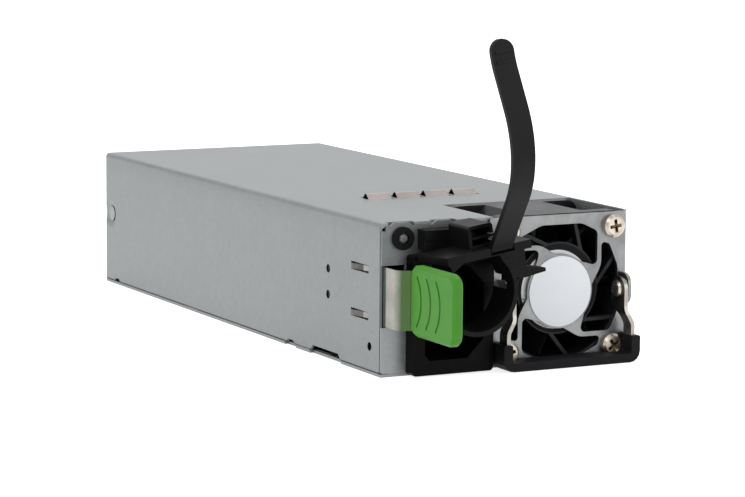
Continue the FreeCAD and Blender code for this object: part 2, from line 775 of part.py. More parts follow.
def rear_panel():
    back = REAR - SHEET
    corner = BEND_R - SHEET + SEAM
    plate = slab_y(rectangle(INNER_LEFT, INNER_RIGHT, SHEET, INNER_TOP), corner, back, REAR)
    flanges = []
    threads = []
    for side in (-1, 1):
        wall = INNER_LEFT if side < 0 else INNER_RIGHT - SHEET
        flanges.append(box(wall, wall + SHEET, REAR - REAR_FLANGE, REAR, SHEET + BEND_R, INNER_TOP - BEND_R))
        threads.append(prism_x(WALL_SCREW_R, SMALL_SIDES, wall - OVER, wall + SHEET + OVER,
                               WALL_SCREW_Y, WALL_SCREW_Z))
    vents = [prism_y(VENT_R, HEX_SIDES, back - OVER, REAR + OVER, x, z) for x, z in vent_places()]
    half = EDGE_HALF + EDGE_SLOT_GAP
    slot = box(-half, half, back - OVER, REAR + OVER, BOARD_Z - EDGE_SLOT_GAP, BOARD_TOP + EDGE_SLOT_GAP)
    return joined([plate] + flanges).cut(vents + [slot] + threads)


def cover_screws():
    screws = []
    for side in (-1, 1):
        outer = LEFT if side < 0 else RIGHT
        narrow = WALL_SCREW_HEAD_R - WALL_SCREW_HEAD_H
        sunk = outer - side * (SHEET - WALL_SCREW_HEAD_H)
        seat = V(sunk, WALL_SCREW_Y, WALL_SCREW_Z)
        head = Part.makeCone(WALL_SCREW_HEAD_R, narrow, WALL_SCREW_HEAD_H, seat, V(-side, 0, 0))
        ends = sorted((sunk, sunk - side * WALL_SCREW_L))
        shank = prism_x(WALL_SCREW_R, SMALL_SIDES, ends[0], ends[1], WALL_SCREW_Y, WALL_SCREW_Z)
        screws.append(joined([head, shank]))
    return group(screws)


def emi_spring_strip():
    """Four sprung arches that ground the supply against the server, on one strip under the top."""
    under = INNER_TOP - SPRING_T
    level = under + SPRING_T / 2
    path = [(SPRING_FRONT, level), (SPRING_FRONT + SPRING_FOOT, level),
            ((SPRING_FRONT + SPRING_REAR) / 2, CASE_H + SPRING_RISE), (SPRING_REAR - SPRING_FOOT, level),
            (SPRING_REAR, level)]
    points, radii = ribbon(path, [0, 0, SPRING_CROWN_R, 0, 0], SPRING_T)
    lows = [SPRING_LEFT + i * SPRING_PITCH for i in range(SPRING_COUNT)]
    arches = [slab_x(points, radii, low, low + SPRING_W) for low in lows]
    left = lows[0] - SPRING_RAIL_END
    right = lows[-1] + SPRING_W + SPRING_RAIL_END
    rails = [box(left, right, SPRING_FRONT - SPRING_RAIL, SPRING_FRONT + SPRING_RAIL_LAP, under, INNER_TOP),
             box(left, right, SPRING_REAR - SPRING_RAIL_LAP, SPRING_REAR + SPRING_RAIL, under, INNER_TOP)]
    return joined(rails + arches)


# Fan

def fan_duct():
    """Octagon between the flanges, which leaves the screws' corners open."""
    half = FAN_W / 2
    cut = FAN_W - (FAN_BORE_R + FAN_DUCT_WALL) * math.sqrt(2)
    points = [(half, half - cut), (half - cut, half), (cut - half, half), (-half, half - cut),
              (-half, cut - half), (cut - half, -half), (half - cut, -half), (half, cut - half)]
    placed = [(FAN_X + a, FAN_Z + b) for a, b in points]
    return slab_y(placed, 0, FRONT + FAN_FLANGE, FAN_BACK - FAN_FLANGE)


def fan_frame():
    half = FAN_W / 2
    square = rectangle(FAN_X - half, FAN_X + half, FAN_Z - half, FAN_Z + half)
    front = slab_y(square, FAN_CORNER_R, FRONT, FRONT + FAN_FLANGE)
    rear = slab_y(square, FAN_CORNER_R, FAN_BACK - FAN_FLANGE, FAN_BACK)
    body = joined([front, fan_duct(), rear])
    bore = rod_y(FAN_BORE_R, FRONT - OVER, FAN_BACK + OVER, FAN_X, FAN_Z)
    holes = [prism_y(SCREW_HOLE_R, SMALL_SIDES, FRONT - OVER, FAN_BACK + OVER, x, z)
             for x, z in screw_places()]
    body = body.cut([bore] + holes)
    base = rod_y(MOTOR_BASE_R, MOTOR_BASE_FRONT, MOTOR_START, FAN_X, FAN_Z)
    tube = motor_rod(BEARING_TUBE_R, MOTOR_BASE_FRONT, MOTOR_START + BEARING_TUBE_L)
    tube_bore = motor_rod(BEARING_R, MOTOR_BASE_FRONT + BEARING_TUBE_FLOOR, FAN_BACK)
    vanes = [fan_vane(VANE_START - i * 360.0 / VANE_COUNT) for i in range(VANE_COUNT)]
    return joined([body, base, tube] + vanes).cut(tube_bore)


def fan_vane(angle):
    """Bar from the motor base out to the bore, leaning back from the radial line."""
    inner_angle = math.radians(angle + VANE_SWEEP)
    outer_angle = math.radians(angle)
    inner_r = MOTOR_BASE_R - VANE_ROOT
    outer_r = FAN_BORE_R + VANE_LAP
    inner = (FAN_X + inner_r * math.cos(inner_angle), FAN_Z + inner_r * math.sin(inner_angle))
    outer = (FAN_X + outer_r * math.cos(outer_angle), FAN_Z + outer_r * math.sin(outer_angle))
    points, radii = ribbon([inner, outer], [0, 0], VANE_W)
    return slab_y(points, radii, MOTOR_BASE_FRONT, MOTOR_BASE_FRONT + VANE_D)


def fan_hub_label():
    return rod_y(HUB_LABEL_R, MOTOR_BASE_FRONT - HUB_LABEL_T, MOTOR_BASE_FRONT, FAN_X, FAN_Z)


def fan_bearings():
    rings = []
    for low in (MOTOR_START, MOTOR_START + BEARING_TUBE_L - BEARING_W):
        ring = motor_rod(BEARING_R, low, low + BEARING_W)
        rings.append(ring.cut(rod_y(SHAFT_R + RUNNING_GAP, low, low + BEARING_W, FAN_X, FAN_Z)))
    return group(rings)


def fan_stator():
    start = MOTOR_START + STATOR_SET_BACK
    end = start + STATOR_L
    core = motor_rod(STATOR_R, start, end).cut(motor_rod(BEARING_TUBE_R, start, end))
    slot = box(FAN_X + BEARING_TUBE_R + STATOR_YOKE, FAN_X + STATOR_R + OVER, start - OVER, end + OVER,
               FAN_Z - STATOR_SLOT_W / 2, FAN_Z + STATOR_SLOT_W / 2)
    step = 360.0 / STATOR_POLES
    return core.cut([turned(slot, step * (i + 0.5)) for i in range(STATOR_POLES)])


def fan_rotor():
    end = CUP_START + CUP_L
    cup = motor_rod(CUP_R, CUP_START, end)
    hollow = motor_rod(CUP_R - CUP_WALL, CUP_START - OVER, end - CUP_WALL)
    shaft_hole = rod_y(SHAFT_R, CUP_START, end + OVER, FAN_X, FAN_Z)
    blades = [turned(fan_blade(), i * 360.0 / BLADE_COUNT) for i in range(BLADE_COUNT)]
    return joined([cup.cut([hollow, shaft_hole])] + blades)


def fan_blade():
    """Cambered blade, rooted in the cup and trimmed round at its tip."""
    start = CUP_START + BLADE_SET_BACK
    knee_x = FAN_X - BLADE_SPREAD / 2 + BLADE_SPREAD * (1 - BLADE_KNEE)
    path = [(FAN_X - BLADE_SPREAD / 2, start), (knee_x, start + BLADE_D * BLADE_KNEE),
            (FAN_X + BLADE_SPREAD / 2, start + BLADE_D)]
    points, radii = ribbon(path, [0, BLADE_CAMBER_R, 0], BLADE_T)
    slab = slab_z(points, radii, FAN_Z + CUP_R / 2, FAN_Z + BLADE_TIP_R + OVER)
    tip = rod_y(BLADE_TIP_R, start - OVER, start + BLADE_D + OVER, FAN_X, FAN_Z)
    root = rod_y(CUP_R - BLADE_ROOT, start - OVER, start + BLADE_D + OVER, FAN_X, FAN_Z)
    return slab.common(tip).cut(root)


def fan_magnet():
    start = CUP_START + MAGNET_SET_BACK
    outer = CUP_R - CUP_WALL
    end = start + MAGNET_L
    return motor_rod(outer, start, end).cut(motor_rod(outer - MAGNET_T, start, end))


def fan_shaft():
    return rod_y(SHAFT_R, MOTOR_START - SHAFT_END, CUP_START + CUP_L, FAN_X, FAN_Z)


def guard_opening():
    """Opening between two swirled spokes, at the right of the hub; the others are turned from it."""
    placed = [(FAN_X + a * GUARD_REACH, GUARD_Z + b * GUARD_REACH) for a, b in OPENING_POINTS]
    return slab_y(placed, OPENING_RADII, FRONT - GUARD_T - OVER, FRONT + OVER)


def guard_ear(side):
    """Pivot ear bent forward from the guard, outside the handle's arm."""
    inner = ARM_UPPER + ARM_T / 2 + EAR_GAP
    low, high = sorted((FAN_X + side * inner, FAN_X + side * (inner + EAR_T)))
    front = PIVOT_Y - EAR_REACH
    outline = rectangle(front, FRONT, PIVOT_Z - EAR_H / 2, PIVOT_Z + EAR_H / 2)
    ear = slab_x(outline, [EAR_R, 0, 0, EAR_R], low, high)
    return ear.cut(rod_x(RIVET_R, low - OVER, high + OVER, PIVOT_Y, PIVOT_Z))


def fan_guard():
    right = INNER_RIGHT - GUARD_MARGIN / 2
    outline = rectangle(GUARD_LEFT, right, GUARD_MARGIN, CASE_H - GUARD_MARGIN)
    plate = slab_y(outline, GUARD_CORNER_R, FRONT - GUARD_T, FRONT)
    step = 360.0 / GUARD_OPENINGS
    openings = [turned(guard_opening(), step * i, GUARD_Z) for i in range(GUARD_OPENINGS)]
    holes = [prism_y(SCREW_HOLE_R, SMALL_SIDES, FRONT - GUARD_T - OVER, FRONT + OVER, x, z)
             for x, z in screw_places()]
    hub = rod_y(GUARD_HUB_R, FRONT - GUARD_T, FRONT, FAN_X, GUARD_Z)
    return joined([plate.cut(openings + holes), hub, guard_ear(-1), guard_ear(1)])


def guard_label_disc():
    return rod_y(LABEL_R, FRONT - GUARD_T - LABEL_T, FRONT - GUARD_T, FAN_X, GUARD_Z)


def cross_recess(x, y, z, turn):
    """Two crossed wedges that are cut into a screw's head, turned as the screw was left."""
    outline = [(x - CROSS_REACH, y - OVER), (x + CROSS_REACH, y - OVER), (x + CROSS_REACH, y),
               (x + CROSS_FOOT, y + CROSS_DEPTH), (x - CROSS_FOOT, y + CROSS_DEPTH), (x - CROSS_REACH, y)]
    wedges = []
    for quarter in (0, 90):
        wedge = slab_z(outline, 0, z - CROSS_HALF_W, z + CROSS_HALF_W)
        wedge.rotate(V(x, y, z), V(0, -1, 0), turn + quarter)
        wedges.append(wedge)
    return wedges


def fan_screws():
    screws = []
    seat = FRONT - GUARD_T
    for place, turn in zip(screw_places(), CROSS_TURNS):
        x, z = place
        head = crowned_head(SCREW_HEAD_R, SCREW_HEAD_H, SCREW_CROWN, V(x, seat, z), V(0, -1, 0))
        shank = prism_y(SCREW_SHANK_R, SMALL_SIDES, seat, seat + SCREW_L, x, z)
        screw = joined([head, shank])
        screws.append(screw.cut(cross_recess(x, seat - SCREW_HEAD_H, z, turn)))
    return group(screws)


# Handle

def handle_bail():
    """Flat steel strip bent into a bail, with round eyes at the tops of its arms."""
    top = PIVOT_Z + ARM_EYE_R
    left_upper = FAN_X - ARM_UPPER
    left_lower = FAN_X - ARM_LOWER
    right_upper = FAN_X + ARM_UPPER
    right_lower = FAN_X + ARM_LOWER
    path = [(left_upper, top), (left_upper, JOGGLE_TOP_Z), (left_lower, JOGGLE_BOTTOM_Z),
            (left_lower, BAR_Z), (right_lower, BAR_Z),
            (right_lower, JOGGLE_BOTTOM_Z), (right_upper, JOGGLE_TOP_Z), (right_upper, top)]
    bends = [0, JOGGLE_R, JOGGLE_R, BAR_CORNER_R, BAR_CORNER_R, JOGGLE_R, JOGGLE_R, 0]
    points, radii = ribbon(path, bends, ARM_T)
    eye_back = PIVOT_Y + ARM_EYE_R
    eye_front = PIVOT_Y - ARM_EYE_R
    strip = slab_y(points, radii, ARM_FRONT - OVER, eye_back + OVER)
    side = [(eye_front, top), (eye_front, ARM_NECK_Z), (ARM_FRONT, ARM_SHOULDER_Z), (ARM_FRONT, 0),
            (ARM_BACK, 0), (ARM_BACK, ARM_SHOULDER_Z), (eye_back, ARM_NECK_Z), (eye_back, top)]
    reach = ARM_LOWER + ARM_T
    rounding = [ARM_EYE_R, ARM_NECK_R, ARM_SHOULDER_R, 0]
    silhouette = slab_x(side, rounding + rounding[::-1], FAN_X - reach, FAN_X + reach)
    hole = rod_x(RIVET_R + RIVET_GAP, FAN_X - reach, FAN_X + reach, PIVOT_Y, PIVOT_Z)
    return strip.common(silhouette).cut(hole)


def handle_grip():
    """Soft U moulded over the bail's bar and the feet of its arms."""
    outer = ARM_LOWER + ARM_T / 2 + GRIP_WALL
    left = FAN_X - outer
    right = FAN_X + outer
    points = [(left, GRIP_BOTTOM), (right, GRIP_BOTTOM),
              (right, GRIP_END_TOP), (right - GRIP_END_T, GRIP_END_TOP), (right - GRIP_END_T, GRIP_TOP),
              (left + GRIP_END_T, GRIP_TOP), (left + GRIP_END_T, GRIP_END_TOP), (left, GRIP_END_TOP)]
    radii = [GRIP_CORNER_R, GRIP_CORNER_R, GRIP_EDGE_R, GRIP_EDGE_R, GRIP_INNER_R, GRIP_INNER_R, GRIP_EDGE_R,
             GRIP_EDGE_R]
    body = slab_y(points, radii, GRIP_FRONT, GRIP_BACK)
    pocket_front = FRONT - GUARD_T - SCREW_HEAD_H - GRIP_SCREW_GAP
    pockets = [rod_y(SCREW_HEAD_R + GRIP_SCREW_GAP, pocket_front, FRONT, x, z)
               for x, z in screw_places() if z < FAN_Z]
    return body.cut([handle_bail()] + pockets)


def handle_rivets():
    rivets = []
    for side in (-1, 1):
        seat = FAN_X + side * (ARM_UPPER - ARM_T / 2 - RIVET_GAP)
        tail = FAN_X + side * (ARM_UPPER + ARM_T / 2 + EAR_GAP + EAR_T)
        base = V(seat, PIVOT_Y, PIVOT_Z)
        head = crowned_head(RIVET_HEAD_R, RIVET_HEAD_H, RIVET_CROWN, base, V(-side, 0, 0))
        low, high = sorted((seat, tail))
        rivets.append(joined([head, rod_x(RIVET_R, low, high, PIVOT_Y, PIVOT_Z)]))
    return group(rivets)


# Inlet

def socket_outline(margin):
    """The inlet's opening: two big chamfers on the earth side, small ones on the other."""
    left = SOCKET_LEFT - margin
    right = SOCKET_RIGHT + margin
    low = SOCKET_BOTTOM - margin
    high = SOCKET_TOP + margin
    growth = margin * (2 - math.sqrt(2))
    big = SOCKET_CHAMFER + growth
    small = SOCKET_SMALL_CORNER + growth
    return [(left + small, low), (right - big, low), (right, low + big), (right, high - big),
            (right - big, high), (left + small, high), (left, high - small), (left, low + small)]


def socket_body_hole():
    return slab_y(socket_outline(SOCKET_WALL + SEAM), 0, FRONT - OVER, FRONT + SHEET + OVER)


def inlet_bezel():
    outline = rectangle(BEZEL_LEFT, BEZEL_RIGHT, BEZEL_BOTTOM, BEZEL_TOP)
    plate = slab_y(outline, BEZEL_CORNER_R, FRONT - BEZEL_D, FRONT)
    return plate.cut(slab_y(socket_outline(0), SOCKET_EDGE_R, FRONT - BEZEL_D - OVER, FRONT + OVER))


def inlet_socket():
    body = slab_y(socket_outline(SOCKET_WALL), 0, FRONT, SOCKET_END + SOCKET_FLOOR)
    cavity = slab_y(socket_outline(0), SOCKET_EDGE_R, FRONT - OVER, SOCKET_END)
    return body.cut([cavity] + [pin_blade(x, z, PIN_CLEARANCE) for x, z in pin_places()])


def pin_places():
    return [(SOCKET_X - PIN_OFFSET, SOCKET_Z - PIN_SPACING), (SOCKET_X - PIN_OFFSET, SOCKET_Z + PIN_SPACING),
            (SOCKET_X + PIN_OFFSET, SOCKET_Z)]


def pin_blade(x, z, margin):
    half_w = PIN_W / 2 + margin
    half_t = PIN_T / 2 + margin
    return box(x - half_w, x + half_w, FRONT - BEZEL_D + PIN_SET_BACK, SOCKET_END + SOCKET_FLOOR + PIN_TAIL,
               z - half_t, z + half_t)


def inlet_pins():
    return group([pin_blade(x, z, 0) for x, z in pin_places()])


# Status light

def led_ring():
    flange = rod_y(LED_RING_R, FRONT - LED_RING_PROUD, FRONT, LED_X, LED_Z)
    end = FRONT + SHEET + LED_SEAT_L
    body = rod_y(LED_SEAT_R, FRONT, end, LED_X, LED_Z)
    bore = rod_y(LED_LENS_R, FRONT - LED_RING_PROUD - OVER, end + OVER, LED_X, LED_Z)
    return joined([flange, body]).cut(bore)


def led_lens():
    """Lens with a crowned front, on the foot that holds it behind the ring."""
    seat = FRONT + SHEET + LED_SEAT_L
    front = FRONT - LED_RING_PROUD + LED_LENS_SINK - LED_CROWN
    head = crowned_head(LED_LENS_R, seat - front, LED_CROWN, V(LED_X, seat, LED_Z), V(0, -1, 0))
    foot = prism_y(LED_FLANGE_R, SMALL_SIDES, seat, seat + LED_BODY_L, LED_X, LED_Z)
    return joined([head, foot])


# Latch

def strip_path():
    step_x = STRIP_X + STRIP_STEP
    step_y = STRIP_KINK_Y - STRIP_STEP_FORWARD
    end = LATCH_TAB_FRONT + STRIP_END
    return [(STRIP_X, STRIP_REAR), (STRIP_X, STRIP_KINK_Y), (step_x, step_y), (step_x, end)]


def latch_spring():
    """Sprung strip along the left wall, with two barbs that reach out through the wall's slots."""
    points, radii = ribbon(strip_path(), [0, STRIP_KINK_R, STRIP_STEP_R, 0], STRIP_T)
    strip = slab_z(points, radii, LATCH_Z - STRIP_H / 2, LATCH_Z + STRIP_H / 2)
    face = STRIP_X - STRIP_T / 2
    tip = LEFT - BARB_PROUD
    wedge = [(face, BARB_FRONT), (tip, BARB_REAR - BARB_TOP), (tip, BARB_REAR), (face, BARB_REAR)]
    barbs = [slab_z(wedge, 0, z - BARB_W / 2, z + BARB_W / 2) for z in BARB_Z]
    holes = [rod_x(LATCH_RIVET_R + SEAM, LEFT, STRIP_X + OVER, LATCH_RIVET_Y, z) for z in LATCH_RIVET_Z]
    return joined([strip] + barbs).cut(holes)


def tab_outline(inset):
    half = LATCH_TAB_H / 2 - inset
    return rectangle(LATCH_TAB_FRONT + inset, LATCH_TAB_REAR - inset, LATCH_TAB_Z - half, LATCH_TAB_Z + half)


def tab_grooves(face):
    """Arc grooves for the thumb in the tab's outer face."""
    half = GROOVE_H / 2
    grooves = []
    for i in range(GROOVE_COUNT):
        y = LATCH_TAB_FRONT + GROOVE_SET_BACK + i * GROOVE_PITCH
        path = [(y, LATCH_TAB_Z - half), (y - GROOVE_BULGE, LATCH_TAB_Z), (y, LATCH_TAB_Z + half)]
        points, radii = ribbon(path, [0, GROOVE_R, 0], GROOVE_W)
        grooves.append(slab_x(points, radii, face - OVER, face + GROOVE_D))
    return grooves


def latch_tab():
    low = STRIP_X + STRIP_STEP - LATCH_TAB_T / 2
    high = low + LATCH_TAB_T
    bevel = LATCH_TAB_BEVEL
    shapes = [slab_x(tab_outline(0), LATCH_TAB_CORNER_R, low + bevel, high - bevel)]
    for outer, inner in ((low, low + bevel), (high, high - bevel)):
        small_wire = rounded_wire(tab_outline(bevel), [LATCH_TAB_CORNER_R - bevel] * 4, on_side(outer))
        big_wire = rounded_wire(tab_outline(0), [LATCH_TAB_CORNER_R] * 4, on_side(inner))
        shapes.append(Part.makeLoft([small_wire, big_wire], True, True))
    return joined(shapes).cut([latch_spring()] + tab_grooves(low))


def latch_rivets():
    rivets = []
    inner = STRIP_X + STRIP_T / 2 + LATCH_PLAY
    for z in LATCH_RIVET_Z:
        shank = rod_x(LATCH_RIVET_R, LEFT + LATCH_RIVET_SINK, inner, LATCH_RIVET_Y, z)
        head = prism_x(LATCH_RIVET_HEAD_R, SMALL_SIDES, inner, inner + LATCH_RIVET_HEAD_H, LATCH_RIVET_Y, z)
        rivets.append(joined([shank, head]))
    return group(rivets)


# Cord retainer

def retainer_slab(points, radius, y_low, y_high):
    """Solid with an outline in the retainer's own u and w."""
    placed = [(COLLAR_X + u, COLLAR_Z + w) for u, w in points]
    return slab_y(placed, radius, y_low, y_high)


def anchor_centre():
    return (ANCHOR_LEFT + ANCHOR_RIGHT) / 2, (ANCHOR_BOTTOM + ANCHOR_TOP) / 2


def anchor_stem(margin, y_low, y_high, rise=0.0):
    x, z = anchor_centre()
    half_w = ANCHOR_STEM_W / 2 + margin
    half_h = ANCHOR_STEM_H / 2 + margin + rise
    return box(x - half_w, x + half_w, y_low, y_high, z - half_h, z + half_h)


def anchor_hole():
    return anchor_stem(SEAM, FRONT - OVER, FRONT + SHEET + OVER)


def retainer_anchor():
    """Block in front of the panel, its stem through the panel and the snap head behind it."""
    block = box(ANCHOR_LEFT, ANCHOR_RIGHT, CLAMP_BACK, FRONT, ANCHOR_BOTTOM, ANCHOR_TOP)
    groove_z = anchor_centre()[1] - ANCHOR_GROOVE_DROP
    groove = box(ANCHOR_LEFT - OVER, ANCHOR_LEFT + ANCHOR_GROOVE_L,
                 CLAMP_BACK - OVER, CLAMP_BACK + ANCHOR_GROOVE, groove_z, groove_z + ANCHOR_GROOVE)
    end = FRONT + SHEET + ANCHOR_STEM_L
    stem = anchor_stem(0, FRONT, end)
    head = anchor_stem(0, FRONT + SHEET + SEAM, end, ANCHOR_SNAP)
    return joined([block.cut(groove), stem, head])


def collar_ring():
    """Round part of the collar; behind its front lip one stretch of the right side is left out."""
    ring = rod_y(COLLAR_R + COLLAR_WALL, COLLAR_FRONT, COLLAR_BACK, COLLAR_X, COLLAR_Z)
    above = retainer_slab(rectangle(-BEYOND, BEYOND, ROOF_TOP, BEYOND), 0,
                          COLLAR_FRONT - OVER, COLLAR_BACK + OVER)
    ends = [math.radians(angle) for angle in COLLAR_GAP]
    wedge = [(0, 0)] + [(BEYOND * math.cos(end), BEYOND * math.sin(end)) for end in ends]
    gap = retainer_slab(wedge, 0, COLLAR_FRONT + COLLAR_LIP, COLLAR_BACK + OVER)
    return ring.cut([above, gap])


def collar_bore():
    """The collar's inside: round below, flat under the roof, sloped towards the latch."""
    low = COLLAR_FRONT - OVER
    high = CLAMP_BACK + OVER
    slope = (ROOF_BOTTOM - SLOPE_FOOT[1]) / (FLAT_LEFT - SLOPE_FOOT[0])
    slope_end = (-BEYOND, SLOPE_FOOT[1] - (BEYOND + SLOPE_FOOT[0]) * slope)
    below = retainer_slab([slope_end, (FLAT_LEFT, ROOF_BOTTOM), (BEYOND, ROOF_BOTTOM), (BEYOND, -BEYOND),
                           (-BEYOND, -BEYOND)], 0, low, high)
    round_part = rod_y(COLLAR_R, low, high, COLLAR_X, COLLAR_Z).common(below)
    flat_part = retainer_slab([(FLAT_LEFT, ROOF_BOTTOM), (FLAT_RIGHT, ROOF_BOTTOM), (COLLAR_R, SIDE_TOP_W),
                               (COLLAR_R, 0), (0, 0), SLOPE_FOOT], 0, low, high)
    return [round_part, flat_part]


def roof_side():
    """What the roof loses at its left edge, which slants inwards to the front."""
    points = [(COLLAR_X - BEYOND, COLLAR_FRONT - OVER), (COLLAR_X + ROOF_LEFT_FRONT, COLLAR_FRONT - OVER),
              (COLLAR_X + ROOF_LEFT_FRONT, COLLAR_FRONT), (COLLAR_X + ROOF_LEFT_BACK, CLAMP_BACK),
              (COLLAR_X - BEYOND, CLAMP_BACK)]
    return slab_z(points, 0, COLLAR_Z + ROOF_BOTTOM - OVER, COLLAR_Z + ROOF_TOP + OVER)


def buckle_walls():
    outline = rectangle(BUCKLE_LEFT, BUCKLE_RIGHT, ROOF_TOP - SEAM, ROOF_TOP + BUCKLE_H)
    return retainer_slab(outline, [0, 0, BUCKLE_WALL, BUCKLE_WALL], BUCKLE_FRONT, CLAMP_BACK)


def buckle_slot():
    outline = rectangle(BUCKLE_LEFT + BUCKLE_WALL, BUCKLE_RIGHT - BUCKLE_WALL, ROOF_TOP + BUCKLE_FLOOR,
                        ROOF_TOP + BUCKLE_H - BUCKLE_WALL)
    return retainer_slab(outline, 0, BUCKLE_FRONT - OVER, CLAMP_BACK + OVER)


def retainer_clamp():
    """Moulded clamp: roof, collar open on the latch side, buckle box, lug and prong."""
    roof = retainer_slab(rectangle(ROOF_LEFT_BACK, ROOF_RIGHT, ROOF_BOTTOM, ROOF_TOP), 0,
                         COLLAR_FRONT, CLAMP_BACK)
    lug = retainer_slab([(LUG_LEFT, 9.0), (9.0, 2.2), (12.4, 1.2), (LUG_RIGHT, 3.0), (LUG_RIGHT, 10.0)], 0,
                        COLLAR_FRONT, LUG_BACK)
    prong = retainer_slab([(12.0, 1.0), (PRONG_TIP, 1.5), (PRONG_TIP, 2.4), (13.0, 4.4)], 0,
                          COLLAR_FRONT, COLLAR_FRONT + PRONG_D)
    body = joined([collar_ring(), roof.cut(roof_side()), lug, prong, buckle_walls()])
    cuts = collar_bore() + pawl_openings() + [buckle_slot(), open_side(), strap_pocket()]
    return tilted(body.cut(cuts))


def open_side():
    """The side of the collar that is left open, so that the latch tab can travel."""
    end = math.radians(COLLAR_END_ANGLE)
    points = [(0, 0), ARM_END, (ARM_END[0] - BUCKLE_WALL, ROOF_BOTTOM), (-BEYOND, ROOF_BOTTOM),
              (BEYOND * math.cos(end), BEYOND * math.sin(end))]
    return retainer_slab(points, 0, COLLAR_FRONT - OVER, CLAMP_BACK + OVER)


def strap_pin(radius, y, out):
    """The strap's hinge pin, or its hole, reaching out at both sides of the strap."""
    half = STRAP_W / 2 + out
    return rod_x(radius, COLLAR_X + STRAP_U - half, COLLAR_X + STRAP_U + half, y, COLLAR_Z + STRAP_ROOT_W)


def strap_pocket():
    """Pocket in the roof's front edge for the strap's barrel, with holes for its stub pins."""
    half = STRAP_W / 2 + STRAP_SIDE_GAP
    outline = rectangle(STRAP_U - half, STRAP_U + half, STRAP_ROOT_W - STRAP_BARREL_R - STRAP_CLEARANCE,
                        ROOF_TOP + OVER)
    back = STRAP_ROOT_Y + STRAP_BARREL_R + STRAP_CLEARANCE
    pocket = retainer_slab(outline, 0, COLLAR_FRONT - OVER, back)
    pin_hole = strap_pin(STRAP_PIN_R + RUNNING_GAP, STRAP_ROOT_Y, STRAP_PIN_OUT + STRAP_SIDE_GAP)
    return joined([pocket, pin_hole])


def pawl_openings():
    """Window in the buckle's right wall for the pawl's finger, and the holes for its pin."""
    low = PAWL_W - PAWL_T / 2 - PAWL_TRAVEL
    high = PAWL_W + PAWL_T / 2 + PAWL_SIDE_GAP
    outline = rectangle(BUCKLE_RIGHT - BUCKLE_WALL - SEAM, BUCKLE_RIGHT + OVER, low, high)
    back = BUCKLE_FRONT + PAWL_SET_BACK + PAWL_FINGER_D + PAWL_SIDE_GAP
    window = retainer_slab(outline, 0, BUCKLE_FRONT - OVER, back)
    pin_hole = rod_x(PAWL_PIN_R + RUNNING_GAP, COLLAR_X + BUCKLE_LEFT + BUCKLE_WALL / 3,
                     COLLAR_X + BUCKLE_RIGHT - BUCKLE_WALL / 3, PAWL_PIN_Y, COLLAR_Z + PAWL_W)
    return [window, pin_hole]


def retainer_pawl():
    """Release blade inside the buckle, on a pin across its rear, with a finger and a tooth."""
    left = BUCKLE_LEFT + BUCKLE_WALL + PAWL_SIDE_GAP
    right = BUCKLE_RIGHT - BUCKLE_WALL - PAWL_SIDE_GAP
    front = BUCKLE_FRONT + PAWL_SET_BACK
    low = PAWL_W - PAWL_T / 2
    high = PAWL_W + PAWL_T / 2
    z = COLLAR_Z + PAWL_W
    blade = retainer_slab(rectangle(left, right, low, high), 0, front, PAWL_PIN_Y)
    finger = retainer_slab(rectangle(right - SEAM, BUCKLE_RIGHT + PAWL_FINGER_OUT, low, high), 0,
                           front, front + PAWL_FINGER_D)
    barrel = rod_x(PAWL_BARREL_R, COLLAR_X + left, COLLAR_X + right, PAWL_PIN_Y, z)
    pin_left = COLLAR_X + BUCKLE_LEFT + BUCKLE_WALL / 2
    pin_right = COLLAR_X + BUCKLE_RIGHT - BUCKLE_WALL / 2
    pin = rod_x(PAWL_PIN_R, pin_left, pin_right, PAWL_PIN_Y, z)
    tooth_start = front + PAWL_T
    tooth_end = front + PAWL_FINGER_D
    tooth = slab_x([(tooth_start, z), (tooth_end, z), (tooth_end, z - PAWL_TOOTH)], 0,
                   COLLAR_X + left + PAWL_TOOTH_INSET, COLLAR_X + right - PAWL_TOOTH_INSET)
    return tilted(joined([blade, finger, barrel, pin, tooth]))


def strap_path():
    """The strap's centre line in Y and Z, before the retainer's lean."""
    path = [(STRAP_ROOT_Y, COLLAR_Z + STRAP_ROOT_W)]
    for run, lean in STRAP_RUNS:
        y, z = path[-1]
        angle = math.radians(lean)
        path.append((y - run * math.sin(angle), z + run * math.cos(angle)))
    return path


def strap_ridge(back):
    """Low ridge across the strap's front face, at a distance back from its tip."""
    tip = strap_path()[-1]
    lean = math.radians(STRAP_RUNS[-1][1])
    along = (-math.sin(lean), math.cos(lean))
    across = (-math.cos(lean), -math.sin(lean))
    outline = []
    for shift, height in ((-RIDGE_FOOT, 0), (-RIDGE_CREST, RIDGE_H), (RIDGE_CREST, RIDGE_H), (RIDGE_FOOT, 0)):
        reach = STRAP_T / 2 + height
        outline.append((tip[0] + along[0] * (shift - back) + across[0] * reach,
                        tip[1] + along[1] * (shift - back) + across[1] * reach))
    half = STRAP_W / 2 * RIDGE_SHARE
    return slab_x(outline, 0, COLLAR_X + STRAP_U - half, COLLAR_X + STRAP_U + half)


def retainer_strap():
    """Springy strap that is drawn over the plug: it leans forward, bends back and ends in a grip."""
    path = strap_path()
    points, radii = ribbon(path, [0, STRAP_BEND_R, STRAP_TIP_BEND_R, 0], STRAP_T)
    half = STRAP_W / 2
    left = COLLAR_X + STRAP_U - half
    right = COLLAR_X + STRAP_U + half
    band = slab_x(points, radii, left, right)
    mask = slab_y(rectangle(left, right, path[0][1] - OVER, path[-1][1]), [0, 0, half, half],
                  path[1][0] - OVER, path[0][0] + OVER)
    ridges = [strap_ridge(RIDGE_FIRST + i * RIDGE_PITCH) for i in range(RIDGE_COUNT)]
    hinge = [strap_pin(STRAP_BARREL_R, STRAP_ROOT_Y, 0), strap_pin(STRAP_PIN_R, STRAP_ROOT_Y, STRAP_PIN_OUT)]
    return tilted(joined([band.common(mask)] + hinge + ridges))


# Main board

